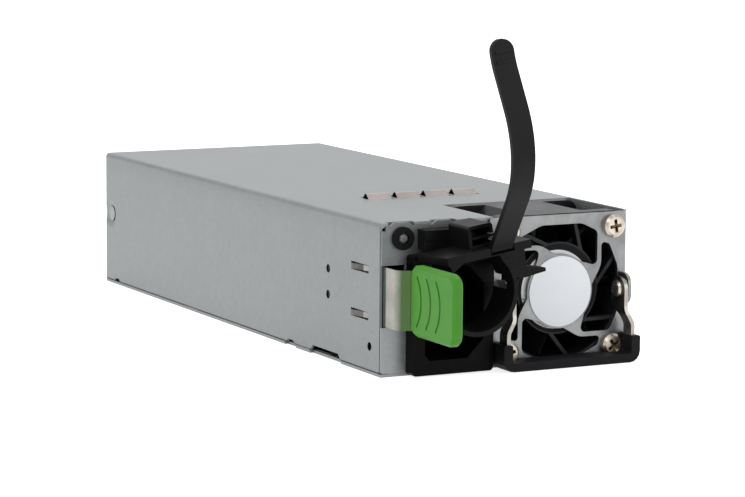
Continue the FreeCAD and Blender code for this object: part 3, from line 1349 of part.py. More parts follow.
def main_board():
    body = box(BOARD_LEFT, BOARD_RIGHT, BOARD_FRONT, BOARD_REAR, BOARD_Z, BOARD_TOP)
    outline = rectangle(-EDGE_HALF, EDGE_HALF, REAR - EDGE_ROOT, REAR + EDGE_OUT)
    edge = slab_z(outline, [0, 0, EDGE_CORNER_R, EDGE_CORNER_R], BOARD_Z, BOARD_TOP)
    holes = [prism_z(BOARD_SCREW_R, SMALL_SIDES, BOARD_Z - OVER, BOARD_TOP + OVER, x, y)
             for x, y in standoff_places()]
    return joined([body, edge]).cut(holes)


def standoff_places():
    near = BOARD_FRONT + STANDOFF_INSET
    far = REAR - REAR_FLANGE - STANDOFF_INSET
    reach = BOARD_RIGHT - STANDOFF_INSET
    return [(-reach, near), (reach, near), (-reach, far), (reach, far)]


def board_standoffs():
    posts = []
    for x, y in standoff_places():
        post = prism_z(STANDOFF_R, HEX_SIDES, SHEET, BOARD_Z, x, y)
        posts.append(post.cut(prism_z(BOARD_SCREW_R, SMALL_SIDES, BOARD_Z - STANDOFF_BORE, BOARD_Z, x, y)))
    return group(posts)


def board_screws():
    screws = []
    for x, y in standoff_places():
        shank = prism_z(BOARD_SCREW_R, SMALL_SIDES, BOARD_Z - STANDOFF_BORE, BOARD_TOP, x, y)
        head = prism_z(BOARD_SCREW_HEAD_R, SMALL_SIDES, BOARD_TOP, BOARD_TOP + BOARD_SCREW_HEAD_H, x, y)
        screws.append(joined([shank, head]))
    return group(screws)


def insulation_sheet():
    film = box(INNER_LEFT + FILM_GAP, INNER_RIGHT - FILM_GAP, BOARD_FRONT, REAR - REAR_FLANGE - FILM_GAP,
               SHEET, SHEET + FILM_T)
    holes = [prism_z(STANDOFF_R + FILM_HOLE_GAP, HEX_SIDES, 0, SHEET + OVER, x, y)
             for x, y in standoff_places()]
    return film.cut(holes)


def edge_contacts():
    count = int((2 * EDGE_HALF - EDGE_CORNER_R - CONTACT_W) / CONTACT_PITCH) + 1
    end = REAR + EDGE_OUT - CONTACT_SET_BACK
    pads = []
    for i in range(count):
        x = (i - (count - 1) / 2) * CONTACT_PITCH
        for low in (BOARD_Z - CONTACT_T, BOARD_TOP):
            pads.append(box(x - CONTACT_W / 2, x + CONTACT_W / 2, end - CONTACT_L, end, low, low + CONTACT_T))
    return group(pads)


# What stands on the main board

def limits(bay):
    """Low and high X, Y and Z of a bay."""
    across, along, up = bay
    width = BOARD_RIGHT - BOARD_LEFT
    length = BOARD_REAR - BOARD_FRONT
    return (BOARD_LEFT + across[0] * width, BOARD_LEFT + across[1] * width,
            BOARD_FRONT + along[0] * length, BOARD_FRONT + along[1] * length,
            BOARD_TOP + up[0] * HEADROOM, BOARD_TOP + up[1] * HEADROOM)


def lying_can(bay):
    """Round can along the board, its belly on the board."""
    x_low, x_high, y_low, y_high, z_low, z_high = limits(bay)
    radius = min(x_high - x_low, z_high - z_low) / 2
    return rod_y(radius, y_low, y_high, (x_low + x_high) / 2, BOARD_TOP + radius)


def cored_window(bay, margin, out):
    """Window along Y in a core, narrowed by a margin and reaching out past both faces."""
    x_low, x_high, y_low, y_high, z_low, z_high = limits(bay)
    inset = CORE_WALL + margin
    return box(x_low + inset, x_high - inset, y_low - out, y_high + out, z_low + inset, z_high - inset)


def bulk_capacitor():
    return lying_can(BULK_BAY)


def fuse():
    return lying_can(FUSE_BAY)


def x_capacitors():
    return group([box(*limits(bay)) for bay in X_CAPACITOR_BAYS])


def line_chokes():
    chokes = []
    for bay in CHOKE_BAYS:
        x_low, x_high, y_low, y_high, z_low, z_high = limits(bay)
        radius = min(x_high - x_low, y_high - y_low) / 2
        centre = ((x_low + x_high) / 2, (y_low + y_high) / 2)
        ring = prism_z(radius, ROUND_SIDES, z_low, z_high, *centre)
        chokes.append(ring.cut(prism_z(radius * CHOKE_HOLE_SHARE, SMALL_SIDES, z_low, z_high, *centre)))
    return group(chokes)


def relay():
    return box(*limits(RELAY_BAY))


def pfc_choke():
    core = box(*limits(PFC_BAY)).cut(cored_window(PFC_BAY, 0, OVER))
    return joined([core, cored_window(PFC_BAY, -PFC_COIL_LAP, -PFC_COIL_INSET)])


def primary_heatsink():
    x_low, x_high, y_low, y_high, z_low, z_high = limits(PRIMARY_BAY)
    step = (y_high - FIN_T - y_low) / (PRIMARY_FINS - 1)
    shapes = [box(x_low, x_low + HEATSINK_BASE, y_low, y_high, z_low, z_high)]
    for i in range(PRIMARY_FINS):
        y = y_low + i * step
        shapes.append(box(x_low, x_high, y, y + FIN_T, z_low, z_high - FIN_DROP))
    return joined(shapes)


def power_transistors():
    """Transistors against the flat side of the primary heatsink."""
    x_low, _, _, y_high, z_low, z_high = limits(PRIMARY_BAY)
    top = z_low + TRANSISTOR_SHARE * (z_high - z_low)
    starts = [y_high - (i + 1) * TRANSISTOR_PITCH for i in range(TRANSISTOR_COUNT)]
    return group([box(x_low - TRANSISTOR_T, x_low, y, y + TRANSISTOR_W, z_low, top) for y in starts])


def transformer_core():
    return box(*limits(TRANSFORMER_BAY)).cut(cored_window(TRANSFORMER_BAY, 0, OVER))


def transformer_winding():
    return cored_window(TRANSFORMER_BAY, WINDING_GAP, WINDING_OUT)


def secondary_heatsink():
    x_low, x_high, y_low, y_high, z_low, z_high = limits(SECONDARY_BAY)
    step = (x_high - FIN_T - x_low) / (SECONDARY_FINS - 1)
    shapes = [box(x_low, x_high, y_low, y_low + HEATSINK_BASE, z_low, z_high)]
    for i in range(SECONDARY_FINS):
        x = x_low + i * step
        shapes.append(box(x, x + FIN_T, y_low, y_high, z_low, z_high - FIN_DROP))
    return joined(shapes)


def output_capacitors():
    x_low, x_high, y_low, y_high, z_low, z_high = limits(OUTPUT_BAY)
    pitch_x = (x_high - x_low) / OUTPUT_COLUMNS
    pitch_y = (y_high - y_low) / OUTPUT_ROWS
    radius = (min(pitch_x, pitch_y) - CAN_GAP) / 2
    cans = []
    for row in range(OUTPUT_ROWS):
        for column in range(OUTPUT_COLUMNS):
            x = x_low + (column + 0.5) * pitch_x
            y = y_low + (row + 0.5) * pitch_y
            cans.append(prism_z(radius, ROUND_SIDES, z_low, z_high, x, y))
    return group(cans)


def control_board():
    x_low, _, y_low, y_high, z_low, z_high = limits(CONTROL_BAY)
    return box(x_low, x_low + CONTROL_BOARD_T, y_low, y_high, z_low, z_high)


def control_chips():
    x_low, _, y_low, y_high, z_low, z_high = limits(CONTROL_BAY)
    face = x_low + CONTROL_BOARD_T
    height = z_high - z_low
    step = (y_high - y_low) / CHIP_COUNT
    chips = []
    for i in range(CHIP_COUNT):
        y = y_low + (i + 0.5) * step - CHIP_L / 2
        chips.append(box(face, face + CHIP_T, y, y + CHIP_L, z_low + CHIP_SHARES[0] * height,
                         z_low + CHIP_SHARES[1] * height))
    return group(chips)


BUILDERS = (
    case_cover, case_tray, front_panel, rear_panel, cover_screws, emi_spring_strip,
    fan_frame, fan_hub_label, fan_bearings, fan_stator, fan_rotor, fan_magnet, fan_shaft,
    fan_guard, guard_label_disc, fan_screws,
    handle_bail, handle_grip, handle_rivets,
    inlet_bezel, inlet_socket, inlet_pins, led_ring, led_lens,
    latch_spring, latch_tab, latch_rivets,
    retainer_anchor, retainer_clamp, retainer_pawl, retainer_strap,
    main_board, board_standoffs, board_screws, insulation_sheet, edge_contacts,
    bulk_capacitor, x_capacitors, line_chokes, fuse, relay, pfc_choke,
    primary_heatsink, power_transistors, transformer_core, transformer_winding,
    secondary_heatsink, output_capacitors, control_board, control_chips,
)


def main():
    os.makedirs("parts", exist_ok=True)
    for builder in BUILDERS:
        shape = builder()
        name = builder.__name__
        shape.exportStep(os.path.join("parts", name + ".step"))
        state = "valid" if shape.isValid() else "INVALID"
        print(name, len(shape.Solids), "solids", round(shape.Volume, 1), "mm3", state)


main()
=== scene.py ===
"""Looks of the hot swap server power supply: materials, floor, light and camera."""
import bpy
import math
from mathutils import Matrix, Vector

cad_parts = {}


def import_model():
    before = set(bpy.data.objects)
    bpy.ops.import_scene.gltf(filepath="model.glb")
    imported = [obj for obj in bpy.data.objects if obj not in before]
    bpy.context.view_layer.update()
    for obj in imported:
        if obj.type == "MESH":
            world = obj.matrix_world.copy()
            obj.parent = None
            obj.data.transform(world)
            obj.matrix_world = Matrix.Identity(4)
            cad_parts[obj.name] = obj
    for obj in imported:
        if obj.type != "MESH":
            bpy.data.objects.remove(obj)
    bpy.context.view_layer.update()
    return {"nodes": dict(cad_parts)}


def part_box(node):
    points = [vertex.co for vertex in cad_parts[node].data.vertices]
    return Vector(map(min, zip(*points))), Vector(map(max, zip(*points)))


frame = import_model()
CASE_LOW, CASE_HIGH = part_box("case_cover")

MM = 0.001
BLACK = (0.0, 0.0, 0.0)

# Camera, in the case's own frame: yaw to the right of straight ahead, pitch down, a small roll
CAMERA_PLACE = Vector((-0.38735, -0.7654, 0.1394))
CAMERA_YAW = math.radians(27.35)
CAMERA_PITCH = math.radians(7.94)
CAMERA_ROLL = math.radians(0.44)
CAMERA_LENS = 144.8
CAMERA_SENSOR = 36.0
CAMERA_CLIP = (0.01, 50.0)

# World and floor: the light of the world, and how bright the floor is where it is seen
AMBIENT = 0.45
FLOOR_SIZE = 6.0
FLOOR_DROP = 0.05 * MM
FLOOR_COLOUR = (0.9, 0.9, 0.9, 1.0)
FLOOR_GLOW = 0.8

# The part of a pattern's values that a finish spreads over its tones
SOFT = (0.3, 0.7)
CRISP = (0.35, 0.65)

# Worn edges: dot product of the rounded and the flat normal, on a flat and over an edge
ON_FLAT = 0.98
OVER_EDGE = 0.80
BEVEL_SAMPLES = 4

# Sockets of a Mix node that mixes colours
MIX_COLOURS = (6, 7)
MIX_RESULT = 2

# The case's sheet: worn edges, painted shade on its edges at the foot, and the rise of painted shade to
# its top
SHEET_T = 0.8 * MM
SHEET_WORN = 1.35
FOOT_ZONE = 1.6 * MM
FOOT_EDGE_SHADE = (0.03, 0.03, 0.03)
TOP_SHADE_START = 0.4
TOP_SHADE_FULL = 0.9

# The left wall: painted shade in the zone of the bend under its top edge, and on the seam line near its
# foot
BEND_ZONE = 6 * MM
BEND_SHADE = 0.13
BEND_WAVES = (0.6, 1.4)
SEAM_HEIGHT = 1.0 * MM
SEAM_HALF = 0.17 * MM
SEAM_SHADE = 0.85

# The painted shade on the sides of the left wall's holes: where along the wall they are, and how dark
HOLES_MIDDLE = 40 * MM
HOLES_REACH = 38 * MM
HOLE_DEPTH = 0.46 * SHEET_T
HOLE_SHADE = 0.93

# Moulded plastic: how much paler it is where rubbed, and the painted shade that darkens a strap towards
# its foot
RUBBED_GAIN = 1.7
RUBBED_LIFT = 0.004
FOOT_FADE = 15 * MM
FOOT_SHADE = 0.55

# The latch strip: where its barbs are, with painted shade on them, and the painted reflection of the green
# tab beside it
BARB_START = 2 * MM
BARB_REACH = 0.9 * MM
BARB_SHADE_TONE = (0.07, 0.07, 0.07)
REFLECTION_START = 3.0 * MM
REFLECTION_FULL = 1.6 * MM
REFLECTION_SHARE = 0.95
GREEN_REFLECTION_TONE = (0.040, 0.088, 0.021)

# The fan's screws: head radius, how far out the cross recess reaches, and how deep its painted shade sets
# in
SCREW_HEAD_R = 3.1 * MM
CROSS_REACH = 1.9 * MM
CROSS_TOP = 0.03 * MM
CROSS_SHADE_FULL = 0.2 * MM
CROSS_SHADE_TONE = (0.15, 0.11, 0.07)

# The handle strip: how squarely a face looks forward or back before it takes the painted highlight of a
# sheared edge
HIGHLIGHT_FACING = (0.45, 0.7)

# The fan hub's label: the white circle in its dark border, which was stuck on a little off centre
PAPER_R = 10.5 * MM
PAPER_LEFT = 0.6 * MM
PAPER_DOWN = 0.25 * MM
BORDER_TONE = (0.003, 0.003, 0.004)
BORDER_ROUGH = 0.8

# The plain marks on that label: a pale ring, and bars at its left rim, heights from its middle
RING_R = 9.4 * MM
RING_HALF = 0.3 * MM
RING_INK = 0.5
BARS_RIGHT = -6.0 * MM
RED_BARS = (-2.1 * MM, -4.3 * MM)
RED_HALF = 0.09 * MM
RED_TONE = (0.62, 0.06, 0.06)
GREEN_BAR = -3.2 * MM
GREEN_HALF = 0.45 * MM
GREEN_TONE = (0.30, 0.55, 0.33)
GREEN_INK = 0.55

# The green tab: painted shade darkens its sides by this share of the shade tone, and its rounded edges
TAB_FACING = (0.9, 0.3)
TAB_SIDE_SHADE = (0.02, 0.12, 0.004)
TAB_SIDE_SHADE_SHARE = 0.3
TAB_EDGE_SHADE = (0.055, 0.275, 0.016)
TAB_SCATTER = (0.5 * MM, 1.0 * MM, 0.3 * MM)


def set_values(node, **sockets):
    """Sets a node's sockets by name, with underscores for the spaces."""
    for key, value in sockets.items():
        node.inputs[key.replace("_", " ")].default_value = value


class Shader:
    """One node material, with short calls for the patterns that the finishes share."""

    def __init__(self, name):
        self.material = bpy.data.materials.new(name)
        self.material.use_nodes = True
        self.tree = self.material.node_tree
        self.surface = self.tree.nodes["Principled BSDF"]
        coordinates = self.add("ShaderNodeTexCoord")
        self.place = coordinates.outputs["Object"]
        self.facing = coordinates.outputs["Normal"]

    def add(self, kind, **settings):
        node = self.tree.nodes.new(kind)
        for key, value in settings.items():
            setattr(node, key, value)
        return node

    def link(self, source, target):
        self.tree.links.new(source, target)

    def feed(self, socket, value):
        """Gives a socket a number, a colour or another node's output."""
        if isinstance(value, (int, float)):
            socket.default_value = value
        elif isinstance(value, tuple):
            socket.default_value = (*value, 1.0)
        else:
            self.link(value, socket)

    def noise(self, size, detail=3.0, roughness=0.55, stretch=None):
        """Cloudy pattern from 0 to 1 whose spots are about size across, in metres. Stretch scales
        the coordinates, so a small value draws the spots out along its axis."""
        node = self.add("ShaderNodeTexNoise")
        place = self.place
        if stretch is not None:
            mapping = self.add("ShaderNodeMapping")
            self.link(place, mapping.inputs["Vector"])
            set_values(mapping, Scale=stretch)
            place = mapping.outputs["Vector"]
        self.link(place, node.inputs["Vector"])
        set_values(node, Scale=1.0 / size, Detail=detail, Roughness=roughness)
        return node.outputs["Fac"]

    def scratches(self):
        """Fine handling marks, drawn out along the height."""
        return self.noise(0.35 * MM, detail=2.0, stretch=(1.0, 1.0, 0.08))

    def cells(self, size):
        """Random grey per crystal, each about size across."""
        node = self.add("ShaderNodeTexVoronoi")
        self.link(self.place, node.inputs["Vector"])
        set_values(node, Scale=1.0 / size)
        split = self.add("ShaderNodeSeparateColor")
        self.link(node.outputs["Color"], split.inputs["Color"])
        return split.outputs["Red"]

    def axis(self, letter, vector=None):
        """One part of a vector, or of the place on the object."""
        node = self.add("ShaderNodeSeparateXYZ")
        self.link(vector or self.place, node.inputs["Vector"])
        return node.outputs[letter]

    def math(self, operation, first, second=0.0):
        """Math node on numbers or outputs. The second has no part in ABSOLUTE and SQRT."""
        node = self.add("ShaderNodeMath", operation=operation)
        for socket, value in zip(node.inputs, (first, second)):
            self.feed(socket, value)
        return node.outputs["Value"]

    def total(self, *parts):
        """Sum of patterns, each times its weight."""
        weighted = [self.math("MULTIPLY", pattern, weight) for pattern, weight in parts]
        result = weighted[0]
        for part in weighted[1:]:
            result = self.math("ADD", result, part)
        return result

    def product(self, result, *factors):
        for factor in factors:
            result = self.math("MULTIPLY", result, factor)
        return result

    def distance(self, first, second):
        """Length of two offsets at right angles to each other."""
        squares = [self.math("MULTIPLY", offset, offset) for offset in (first, second)]
        return self.math("SQRT", self.math("ADD", *squares))

    def spread(self, value, low, high, out_low=0.0, out_high=1.0):
        """Carries the values between low and high over to those between out_low and out_high."""
        node = self.add("ShaderNodeMapRange")
        self.link(value, node.inputs["Value"])
        set_values(node, From_Min=low, From_Max=high, To_Min=out_low, To_Max=out_high)
        return node.outputs["Result"]

    def band(self, value, centre, half):
        """1 within half of centre, 0 outside."""
        away = self.math("ABSOLUTE", self.math("SUBTRACT", value, centre))
        return self.math("LESS_THAN", away, half)

    def blend(self, share, first, second):
        """Colour between two, each a tuple or another node's output."""
        node = self.add("ShaderNodeMix", data_type="RGBA")
        self.link(share, node.inputs["Factor"])
        for socket, value in zip(MIX_COLOURS, (first, second)):
            self.feed(node.inputs[socket], value)
        return node.outputs[MIX_RESULT]

    def mottle(self, pattern, dark, light, over=SOFT):
        """Colour that a pattern mixes from two tones."""
        return self.blend(self.spread(pattern, *over), dark, light)

    def bevelled(self, radius):
        """Normal with the edges rounded by a radius."""
        bevel = self.add("ShaderNodeBevel", samples=BEVEL_SAMPLES)
        set_values(bevel, Radius=radius)
        return bevel.outputs["Normal"]

    def worn_edges(self, radius):
        """1 where a surface turns over an edge, 0 on its flats."""
        flat = self.add("ShaderNodeNewGeometry").outputs["Normal"]
        dot = self.add("ShaderNodeVectorMath", operation="DOT_PRODUCT")
        for socket, normal in zip(dot.inputs, (self.bevelled(radius), flat)):
            self.link(normal, socket)
        return self.spread(dot.outputs["Value"], ON_FLAT, OVER_EDGE)

    def colour(self, output):
        self.link(output, self.surface.inputs["Base Color"])

    def rough(self, pattern, low, high, over=SOFT):
        """Roughness from low to high by a pattern."""
        self.link(self.spread(pattern, *over, low, high), self.surface.inputs["Roughness"])

    def fixed(self, **sockets):
        """Values that are the same all over the surface."""
        set_values(self.surface, **sockets)

    def relief(self, height, depth, edge=0.0):
        """Bump of a height map, depth in metres, over edges softened by a small radius."""
        bump = self.add("ShaderNodeBump")
        set_values(bump, Distance=depth, Strength=1.0)
        self.link(height, bump.inputs["Height"])
        if edge > 0:
            self.link(self.bevelled(edge), bump.inputs["Normal"])
        self.link(bump.outputs["Normal"], self.surface.inputs["Normal"])


def paler(tone, gain, lift=0.0):
    """Tone of a worn or rubbed edge."""
    return tuple(value * gain + lift for value in tone)


def wall_shade(s, height):
    """Painted shade on the left wall in three places: at the bend under its top edge, at the seam line
    near its foot, and on the sides of the holes in its front half."""
    across = s.axis("X")
    middle = CASE_HIGH.z / 2
    beside = s.math("LESS_THAN", across, CASE_LOW.x + SHEET_T / 2)
    bend = s.spread(height, CASE_HIGH.z - BEND_ZONE, CASE_HIGH.z - SHEET_T, 0.0, BEND_SHADE)
    waves = s.noise(3 * MM, detail=2.0, stretch=(0.05, 0.05, 1.0))
    bend = s.product(bend, s.spread(waves, *CRISP, *BEND_WAVES), beside)
    seam = s.product(s.band(height, CASE_LOW.z + SEAM_HEIGHT, SEAM_HALF), beside, SEAM_SHADE)
    hole = s.product(s.band(across, CASE_LOW.x + SHEET_T / 2, HOLE_DEPTH),
                     s.band(height, middle, middle - BEND_ZONE / 2),
                     s.band(s.axis("Y"), CASE_LOW.y + HOLES_MIDDLE, HOLES_REACH),
                     HOLE_SHADE)
    return s.math("MAXIMUM", s.math("MAXIMUM", bend, seam), hole)


def zinc_sheet(name, dark, light, top_shade=0.0):
    """Galvanised sheet: speckle, small crystals and clouds, with bright cut edges that are painted dark
    as shade at the foot. The last argument is how much painted shade darkens the sheet towards its top."""
    s = Shader(name)
    height = s.axis("Z")
    speckle = s.noise(0.5 * MM, detail=4.0, roughness=0.7)
    tone = s.total((speckle, 0.5), (s.noise(18 * MM, detail=2.0), 0.35), (s.cells(1.6 * MM), 0.15))
    share = wall_shade(s, height)
    if top_shade > 0:
        # Painted shade, rising towards the top of the sheet.
        film = s.spread(height, CASE_HIGH.z * TOP_SHADE_START, CASE_HIGH.z * TOP_SHADE_FULL, 0.0, top_shade)
        share = s.math("MAXIMUM", share, film)
    flat = s.blend(share, s.mottle(tone, dark, light, over=(0.36, 0.64)), BLACK)
    # Painted shade on the cut edges near the foot.
    foot = s.math("LESS_THAN", height, CASE_LOW.z + FOOT_ZONE)
    edges = s.blend(foot, paler(light, SHEET_WORN), FOOT_EDGE_SHADE)
    s.colour(s.blend(s.worn_edges(0.15 * MM), flat, edges))
    s.rough(tone, 0.42, 0.54, over=CRISP)
    s.fixed(Metallic=0.6)
    s.relief(speckle, depth=0.015 * MM, edge=0.12 * MM)
    return s.material


def plated_steel(name, dark, light, roughness):
    """Nickel or zinc plate: nearly even, with faint handling marks."""
    s = Shader(name)
    cloud = s.noise(5 * MM)
    scratch = s.scratches()
    s.colour(s.mottle(cloud, dark, light, over=CRISP))
    s.rough(s.total((scratch, 0.6), (cloud, 0.4)), roughness - 0.06, roughness + 0.08, over=CRISP)
    s.fixed(Metallic=0.9)
    s.relief(scratch, depth=0.004 * MM, edge=0.10 * MM)
    return s.material


def moulded_plastic(name, base, sheen, roughness, grain_depth, shine, edge=0.15 * MM, foot=None):
    """Dark moulded plastic: spark-eroded grain, a little dust and paler edges that are rubbed smooth.
    Foot is the height of a strap's foot, towards which painted shade makes the plastic darker."""
    s = Shader(name)
    grain = s.noise(0.25 * MM, roughness=0.7)
    patch = s.noise(9 * MM)
    body = s.mottle(patch, base, sheen, over=CRISP)
    colour = s.blend(s.worn_edges(edge), body, paler(sheen, RUBBED_GAIN, RUBBED_LIFT))
    if foot is not None:
        # Painted shade towards the strap's foot.
        painted_foot_shade = s.spread(s.axis("Z"), foot, foot + FOOT_FADE, FOOT_SHADE, 0.0)
        colour = s.blend(painted_foot_shade, colour, BLACK)
    s.colour(colour)
    s.rough(s.total((grain, 0.5), (patch, 0.5)), roughness - 0.07, roughness + 0.07, over=CRISP)
    s.fixed(Metallic=0.0, Specular_IOR_Level=shine)
    s.relief(grain, depth=grain_depth, edge=edge)
    return s.material


def recessed_screws():
    """Nickel plated pan heads, with painted shade inside their cross recesses. The four screws sit at
    the corners of their node's box."""
    s = Shader("recessed_screws")
    low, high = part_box("fan_screws")
    centre = (low + high) / 2
    half = (high - low) / 2
    offsets = []
    for letter, middle, reach in (("X", centre.x, half.x), ("Z", centre.z, half.z)):
        away = s.math("ABSOLUTE", s.math("SUBTRACT", s.axis(letter), middle))
        offsets.append(s.math("SUBTRACT", away, reach - SCREW_HEAD_R))
    inside = s.math("LESS_THAN", s.distance(*offsets), CROSS_REACH)
    # Painted shade, deeper in the cross recess.
    recess_shade = s.spread(s.axis("Y"), low.y + CROSS_TOP, low.y + CROSS_SHADE_FULL)
    cloud = s.noise(2 * MM)
    nickel = s.mottle(cloud, (0.42, 0.37, 0.31), (0.57, 0.51, 0.44), over=CRISP)
    s.colour(s.blend(s.product(inside, recess_shade), nickel, CROSS_SHADE_TONE))
    s.rough(cloud, 0.22, 0.34)
    s.fixed(Metallic=0.9)
    s.relief(cloud, depth=0.004 * MM, edge=0.12 * MM)
    return s.material


def latch_steel():
    """Spring steel of the latch: bright where it shows in front, with painted shade on the barbs in the
    wall, and a painted reflection of the green tab beside the tab."""
    s = Shader("latch_steel")
    cloud = s.noise(5 * MM)
    scratch = s.scratches()
    across = s.axis("X")
    behind = s.math("GREATER_THAN", s.axis("Y"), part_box("front_panel")[0].y + BARB_START)
    outside = s.math("LESS_THAN", across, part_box("latch_spring")[0].x + BARB_REACH)
    # Painted shade on the barbs in the wall.
    barb_shade = s.product(behind, outside, s.spread(cloud, 0.4, 0.6, out_low=0.75, out_high=1.0))
    bright = s.mottle(cloud, (0.25, 0.237, 0.224), (0.32, 0.303, 0.29), over=CRISP)
    tab_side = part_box("latch_tab")[0].x
    # Painted reflection of the green tab beside it.
    painted_reflection = s.spread(across, tab_side - REFLECTION_START, tab_side - REFLECTION_FULL, 0.0, REFLECTION_SHARE)
    s.colour(s.blend(painted_reflection, s.blend(barb_shade, bright, BARB_SHADE_TONE), GREEN_REFLECTION_TONE))
    s.rough(scratch, 0.09, 0.20, over=CRISP)
    s.fixed(Metallic=0.9)
    s.relief(scratch, depth=0.004 * MM, edge=0.10 * MM)
    return s.material


def strip_painted_light():
    """Handle strip: painted shade on its broad faces, a painted highlight on its sheared edges."""
    s = Shader("strip_painted_light")
    edge = s.spread(s.math("ABSOLUTE", s.axis("Y", s.facing)), *HIGHLIGHT_FACING)
    brushed = s.noise(0.3 * MM, detail=2.0, stretch=(1.0, 1.0, 0.1))
    dark = s.mottle(s.noise(3 * MM), (0.060, 0.058, 0.054), (0.150, 0.145, 0.135))
    bright = s.mottle(brushed, (0.27, 0.25, 0.23), (0.40, 0.38, 0.35))
    # Painted highlight on the edges that face forward or back, painted shade on the broad faces.
    s.colour(s.blend(edge, dark, bright))
    s.rough(brushed, 0.24, 0.38)
    s.fixed(Metallic=0.85)
    s.relief(brushed, depth=0.006 * MM, edge=0.08 * MM)
    return s.material


def printed_label():
    """Fan hub label: white coated paper with a plain ring and bars, and a dark border."""
    s = Shader("printed_label")
    low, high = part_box("fan_hub_label")
    centre = (low + high) / 2
    across = s.math("SUBTRACT", s.axis("X"), centre.x - PAPER_LEFT)
    up = s.math("SUBTRACT", s.axis("Z"), centre.z - PAPER_DOWN)
    radius = s.distance(across, up)
    fibre = s.noise(0.4 * MM, detail=4.0)
    paper = s.mottle(fibre, (0.80, 0.82, 0.83), (0.88, 0.90, 0.90))
    side = s.math("LESS_THAN", across, BARS_RIGHT)
    red = s.product(s.math("ADD", *(s.band(up, bar, RED_HALF) for bar in RED_BARS)), side)
    ring = s.product(s.band(radius, RING_R, RING_HALF), RING_INK)
    green = s.math("MAXIMUM", s.product(s.band(up, GREEN_BAR, GREEN_HALF), side), ring)
    marked = s.blend(red, s.blend(s.product(green, GREEN_INK), paper, GREEN_TONE), RED_TONE)
    border = s.math("GREATER_THAN", radius, PAPER_R)
    s.colour(s.blend(border, marked, BORDER_TONE))
    gloss = s.math("MAXIMUM", s.spread(fibre, *SOFT, 0.38, 0.5), s.product(border, BORDER_ROUGH))
    s.link(gloss, s.surface.inputs["Roughness"])
    s.fixed(Specular_IOR_Level=0.2)
    s.relief(fibre, depth=0.01 * MM)
    return s.material


def white_disc():
    """Blank coated label on the guard."""
    s = Shader("white_disc")
    fibre = s.noise(0.5 * MM, detail=4.0)
    s.colour(s.mottle(s.noise(8 * MM, detail=2.0), (0.91, 0.94, 0.985), (0.93, 0.965, 1.0)))
    s.rough(fibre, 0.34, 0.44)
    s.relief(fibre, depth=0.006 * MM, edge=0.1 * MM)
    return s.material


def green_plastic():
    """Finger tab: satin green moulding with a fine grain, with painted shade on its sides and rounded
    edges.
    """
    s = Shader("green_plastic")
    grain = s.noise(0.3 * MM, roughness=0.7)
    body = s.mottle(s.noise(6 * MM, detail=2.0), (0.064, 0.315, 0.018), (0.080, 0.350, 0.026))
    across = s.math("ABSOLUTE", s.axis("X", s.facing))
    # Painted shade on the sides.
    body = s.blend(s.spread(across, *TAB_FACING, 0.0, TAB_SIDE_SHADE_SHARE), body, TAB_SIDE_SHADE)
    # Painted shade on the rounded edges.
    s.colour(s.blend(s.worn_edges(0.3 * MM), body, TAB_EDGE_SHADE))
    s.rough(grain, 0.38, 0.48)
    s.fixed(Subsurface_Weight=0.05, Subsurface_Radius=TAB_SCATTER, Specular_IOR_Level=0.25)
    s.relief(grain, depth=0.006 * MM, edge=0.35 * MM)
    return s.material


def lens_plastic():
    """Status light, unlit: smoky plastic with a clear coat."""
    s = Shader("lens_plastic")
    cloud = s.noise(1.2 * MM, detail=2.0)
    s.colour(s.mottle(cloud, (0.06, 0.06, 0.06), (0.11, 0.11, 0.10)))
    s.rough(cloud, 0.16, 0.24)
    s.fixed(Coat_Weight=0.4, Coat_Roughness=0.1)
    s.relief(cloud, depth=0.01 * MM)
    return s.material


def spring_copper():
    """Grounding arches: pale reddish metal with light stains and fine marks across."""
    s = Shader("spring_copper")
    stain = s.noise(6 * MM)
    s.colour(s.mottle(stain, (0.245, 0.222, 0.210), (0.300, 0.275, 0.262), over=CRISP))
    s.rough(stain, 0.26, 0.36)
    s.fixed(Metallic=0.9)
    s.relief(s.noise(0.3 * MM, detail=2.0, stretch=(0.1, 1.0, 1.0)), depth=0.004 * MM)
    return s.material


def board_laminate():
    """Solder mask over glass cloth, with the weave just showing."""
    s = Shader("board_laminate")
    threads = [s.noise(0.5 * MM, detail=1.0, stretch=run) for run in ((1.0, 0.1, 1.0), (0.1, 1.0, 1.0))]
    weave = s.math("ADD", *threads)
    tone = s.total((weave, 0.2), (s.noise(3 * MM, detail=1.0), 0.6))
    s.colour(s.mottle(tone, (0.012, 0.085, 0.035), (0.030, 0.150, 0.060), over=(0.4, 0.6)))
    s.rough(weave, 0.28, 0.4, over=(0.7, 1.3))
    s.relief(weave, depth=0.01 * MM, edge=0.08 * MM)
    return s.material


def wound_wire():
    """Enamelled copper turns."""
    s = Shader("wound_wire")
    turns = s.add("ShaderNodeTexWave", bands_direction="Z")
    s.link(s.place, turns.inputs["Vector"])
    set_values(turns, Scale=300.0, Distortion=0.6)
    s.colour(s.blend(turns.outputs["Fac"], (0.20, 0.055, 0.02), (0.55, 0.22, 0.08)))
    s.rough(s.noise(2 * MM), 0.22, 0.36)
    s.fixed(Metallic=0.6)
    s.relief(turns.outputs["Fac"], depth=0.2 * MM)
    return s.material


def mottled(name, dark, light, roughness, size, metallic=0.0):
    """Plain finish of a part seen little: two close tones, uneven gloss and a light grain."""
    s = Shader(name)
    cloud = s.noise(size)
    s.colour(s.mottle(cloud, dark, light))
    s.rough(cloud, roughness - 0.06, roughness + 0.06)
    s.fixed(Metallic=metallic)
    s.relief(s.noise(size / 8, detail=2.0), depth=0.01 * MM, edge=0.1 * MM)
    return s.material


def dress(material, *nodes):
    """Gives nodes one material in place of their own."""
    for node in nodes:
        slots = frame["nodes"][node].data.materials
        slots.clear()
        slots.append(material)


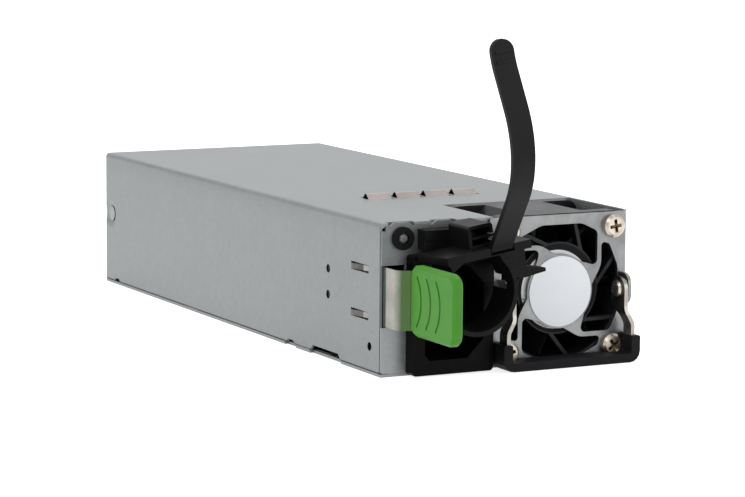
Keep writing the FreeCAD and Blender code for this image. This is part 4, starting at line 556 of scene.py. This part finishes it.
def dress_metal():
    dress(zinc_sheet("case_zinc", dark=(0.252, 0.265, 0.271), light=(0.316, 0.331, 0.337)),
          "case_cover", "case_tray", "rear_panel")
    # The front panel: the case's zinc painted lighter for the light on it, with painted shade towards its
    # top.
    dress(zinc_sheet("panel_zinc_painted_light", dark=(0.270, 0.286, 0.290), light=(0.335, 0.352, 0.356), top_shade=0.38),
          "front_panel")
    dress(plated_steel("guard_plate", dark=(0.18, 0.184, 0.186), light=(0.25, 0.255, 0.257),
                       roughness=0.36), "fan_guard")
    dress(plated_steel("nickel", dark=(0.46, 0.42, 0.36), light=(0.62, 0.57, 0.50), roughness=0.22),
          "handle_rivets", "board_screws", "board_standoffs")
    dress(plated_steel("zinc_screw", dark=(0.21, 0.225, 0.225), light=(0.28, 0.295, 0.295),
                       roughness=0.34), "cover_screws")
    dress(plated_steel("dark_rivet", dark=(0.006, 0.006, 0.006), light=(0.013, 0.013, 0.013),
                       roughness=0.5), "latch_rivets")
    dress(plated_steel("bright_pin", dark=(0.60, 0.60, 0.58), light=(0.75, 0.75, 0.73), roughness=0.2),
          "fan_shaft", "fan_bearings")
    # Inlet pins: nickel painted dark for the shade inside the inlet.
    dress(plated_steel("nickel_pin_painted_shade", dark=(0.11, 0.105, 0.10), light=(0.17, 0.16, 0.15),
                       roughness=0.28), "inlet_pins")
    dress(latch_steel(), "latch_spring")
    dress(recessed_screws(), "fan_screws")
    dress(strip_painted_light(), "handle_bail")
    dress(spring_copper(), "emi_spring_strip")


def dress_plastic():
    dress(moulded_plastic("soft_grip", base=(0.009, 0.009, 0.010), sheen=(0.014, 0.013, 0.015),
                          roughness=0.55, grain_depth=0.012 * MM, shine=0.08, edge=0.3 * MM),
          "handle_grip")
    dress(moulded_plastic("clamp_nylon", base=(0.0055, 0.0052, 0.0055), sheen=(0.0090, 0.0087, 0.0090),
                          roughness=0.42, grain_depth=0.008 * MM, shine=0.08),
          "retainer_clamp", "retainer_anchor", "retainer_pawl", "led_ring")
    dress(moulded_plastic("strap_nylon", base=(0.011, 0.010, 0.0105), sheen=(0.016, 0.014, 0.015),
                          roughness=0.48, grain_depth=0.010 * MM, shine=0.10, edge=0.2 * MM,
                          foot=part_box("retainer_strap")[0].z),
          "retainer_strap")
    dress(moulded_plastic("inlet_thermoset", base=(0.003, 0.003, 0.003), sheen=(0.005, 0.005, 0.005),
                          roughness=0.40, grain_depth=0.006 * MM, shine=0.05),
          "inlet_bezel", "inlet_socket")
    dress(moulded_plastic("fan_glass_nylon", base=(0.008, 0.008, 0.010), sheen=(0.014, 0.014, 0.018),
                          roughness=0.38, grain_depth=0.010 * MM, shine=0.20),
          "fan_frame", "fan_rotor")
    dress(green_plastic(), "latch_tab")
    dress(lens_plastic(), "led_lens")
    dress(printed_label(), "fan_hub_label")
    dress(white_disc(), "guard_label_disc")


def dress_inside():
    dress(board_laminate(), "main_board", "control_board")
    dress(wound_wire(), "line_chokes")
    dress(mottled("gold_finger", dark=(0.62, 0.42, 0.12), light=(0.80, 0.58, 0.22), roughness=0.26,
                  size=3 * MM, metallic=1.0), "edge_contacts")
    dress(mottled("film", dark=(0.05, 0.05, 0.05), light=(0.08, 0.08, 0.08), roughness=0.35,
                  size=6 * MM), "insulation_sheet")
    dress(mottled("can_sleeve", dark=(0.010, 0.014, 0.045), light=(0.018, 0.022, 0.065),
                  roughness=0.3, size=8 * MM), "bulk_capacitor", "output_capacitors")
    dress(mottled("yellow_film", dark=(0.55, 0.40, 0.06), light=(0.70, 0.52, 0.10), roughness=0.42,
                  size=5 * MM), "x_capacitors", "pfc_choke", "transformer_winding")
    dress(mottled("ferrite", dark=(0.025, 0.025, 0.027), light=(0.045, 0.045, 0.048),
                  roughness=0.5, size=4 * MM), "transformer_core", "fan_magnet")
    dress(mottled("laminations", dark=(0.18, 0.18, 0.18), light=(0.28, 0.28, 0.28), roughness=0.4,
                  size=3 * MM, metallic=0.8), "fan_stator")
    dress(mottled("heatsink_aluminium", dark=(0.55, 0.55, 0.56), light=(0.68, 0.68, 0.69),
                  roughness=0.36, size=6 * MM, metallic=0.9), "primary_heatsink", "secondary_heatsink")
    dress(mottled("package_resin", dark=(0.012, 0.012, 0.012), light=(0.022, 0.022, 0.022),
                  roughness=0.45, size=3 * MM), "power_transistors", "relay", "control_chips")
    dress(mottled("fuse_ceramic", dark=(0.66, 0.62, 0.54), light=(0.78, 0.75, 0.68), roughness=0.38,
                  size=3 * MM), "fuse")


def seen_rays(tree):
    """1 on camera, glossy and transmission rays."""
    path = tree.nodes.new("ShaderNodeLightPath")
    seen = path.outputs["Is Camera Ray"]
    for name in ("Is Glossy Ray", "Is Transmission Ray"):
        larger = tree.nodes.new("ShaderNodeMath")
        larger.operation = "MAXIMUM"
        tree.links.new(seen, larger.inputs[0])
        tree.links.new(path.outputs[name], larger.inputs[1])
        seen = larger.outputs[0]
    return seen


def floor_white():
    """White that keeps the object's shadow, glows where it is seen or mirrored, and is clear from
    below."""
    material = bpy.data.materials.new("floor_white")
    material.use_nodes = True
    tree = material.node_tree
    tree.nodes.clear()
    diffuse = tree.nodes.new("ShaderNodeBsdfDiffuse")
    diffuse.inputs["Color"].default_value = FLOOR_COLOUR
    strength = tree.nodes.new("ShaderNodeMath")
    strength.operation = "MULTIPLY"
    strength.inputs[1].default_value = FLOOR_GLOW
    tree.links.new(seen_rays(tree), strength.inputs[0])
    glow = tree.nodes.new("ShaderNodeEmission")
    tree.links.new(strength.outputs[0], glow.inputs["Strength"])
    above = tree.nodes.new("ShaderNodeAddShader")
    tree.links.new(diffuse.outputs[0], above.inputs[0])
    tree.links.new(glow.outputs[0], above.inputs[1])
    geometry = tree.nodes.new("ShaderNodeNewGeometry")
    clear = tree.nodes.new("ShaderNodeBsdfTransparent")
    sides = tree.nodes.new("ShaderNodeMixShader")
    tree.links.new(geometry.outputs["Backfacing"], sides.inputs[0])
    tree.links.new(above.outputs[0], sides.inputs[1])
    tree.links.new(clear.outputs[0], sides.inputs[2])
    output = tree.nodes.new("ShaderNodeOutputMaterial")
    tree.links.new(sides.outputs[0], output.inputs["Surface"])
    return material


def floor():
    """Plain floor just under the object."""
    half = FLOOR_SIZE / 2
    corners = [(-half, -half), (half, -half), (half, half), (-half, half)]
    mesh = bpy.data.meshes.new("floor")
    mesh.from_pydata([(x, y, -FLOOR_DROP) for x, y in corners], [], [(0, 1, 2, 3)])
    mesh.materials.append(floor_white())
    plane = bpy.data.objects.new("floor", mesh)
    bpy.context.scene.collection.objects.link(plane)


def world():
    """White where it is seen or mirrored, a soft grey as light."""
    sky = bpy.data.worlds.new("studio")
    bpy.context.scene.world = sky
    sky.use_nodes = True
    tree = sky.node_tree
    background = tree.nodes["Background"]
    background.inputs["Color"].default_value = (1, 1, 1, 1)
    strength = tree.nodes.new("ShaderNodeMapRange")
    set_values(strength, To_Min=AMBIENT, To_Max=1.0)
    tree.links.new(seen_rays(tree), strength.inputs["Value"])
    tree.links.new(strength.outputs["Result"], background.inputs["Strength"])


def lamp(name, place, target, size, watts):
    """Soft rectangular lamp, turned towards its target."""
    light = bpy.data.lights.new(name, "AREA")
    light.shape = "RECTANGLE"
    light.size, light.size_y = size
    light.energy = watts
    lamp_object = bpy.data.objects.new(name, light)
    lamp_object.location = place
    lamp_object.rotation_mode = "QUATERNION"
    lamp_object.rotation_quaternion = (Vector(target) - Vector(place)).to_track_quat("-Z", "Y")
    bpy.context.scene.collection.objects.link(lamp_object)


def lights():
    lamp("key", place=(-1.0, -0.7, 1.1), target=(0, 0, 0.02), size=(0.9, 0.7), watts=4.0)
    lamp("top", place=(0.1, 0.2, 1.3), target=(0, 0, 0.02), size=(1.2, 1.0), watts=7.6)
    lamp("fill", place=(0.9, -1.2, 0.5), target=(0, -0.05, 0.02), size=(0.9, 0.9), watts=5.0)


def camera():
    """Camera at the photograph's angle."""
    data = bpy.data.cameras.new("camera")
    data.sensor_width = CAMERA_SENSOR
    data.lens = CAMERA_LENS
    data.clip_start, data.clip_end = CAMERA_CLIP
    ahead = math.cos(CAMERA_PITCH)
    forward = Vector((math.sin(CAMERA_YAW) * ahead, math.cos(CAMERA_YAW) * ahead, -math.sin(CAMERA_PITCH)))
    level = Vector((math.cos(CAMERA_YAW), -math.sin(CAMERA_YAW), 0))
    upright = level.cross(forward)
    right = math.cos(CAMERA_ROLL) * level + math.sin(CAMERA_ROLL) * upright
    up = -math.sin(CAMERA_ROLL) * level + math.cos(CAMERA_ROLL) * upright
    rotation = Matrix((right, up, -forward)).transposed().to_4x4()
    view = bpy.data.objects.new("camera", data)
    view.matrix_world = Matrix.Translation(CAMERA_PLACE) @ rotation
    bpy.context.scene.collection.objects.link(view)
    bpy.context.scene.camera = view


dress_metal()
dress_plastic()
dress_inside()
floor()
world()
lights()
camera()
bpy.context.scene.view_settings.view_transform = "Standard"
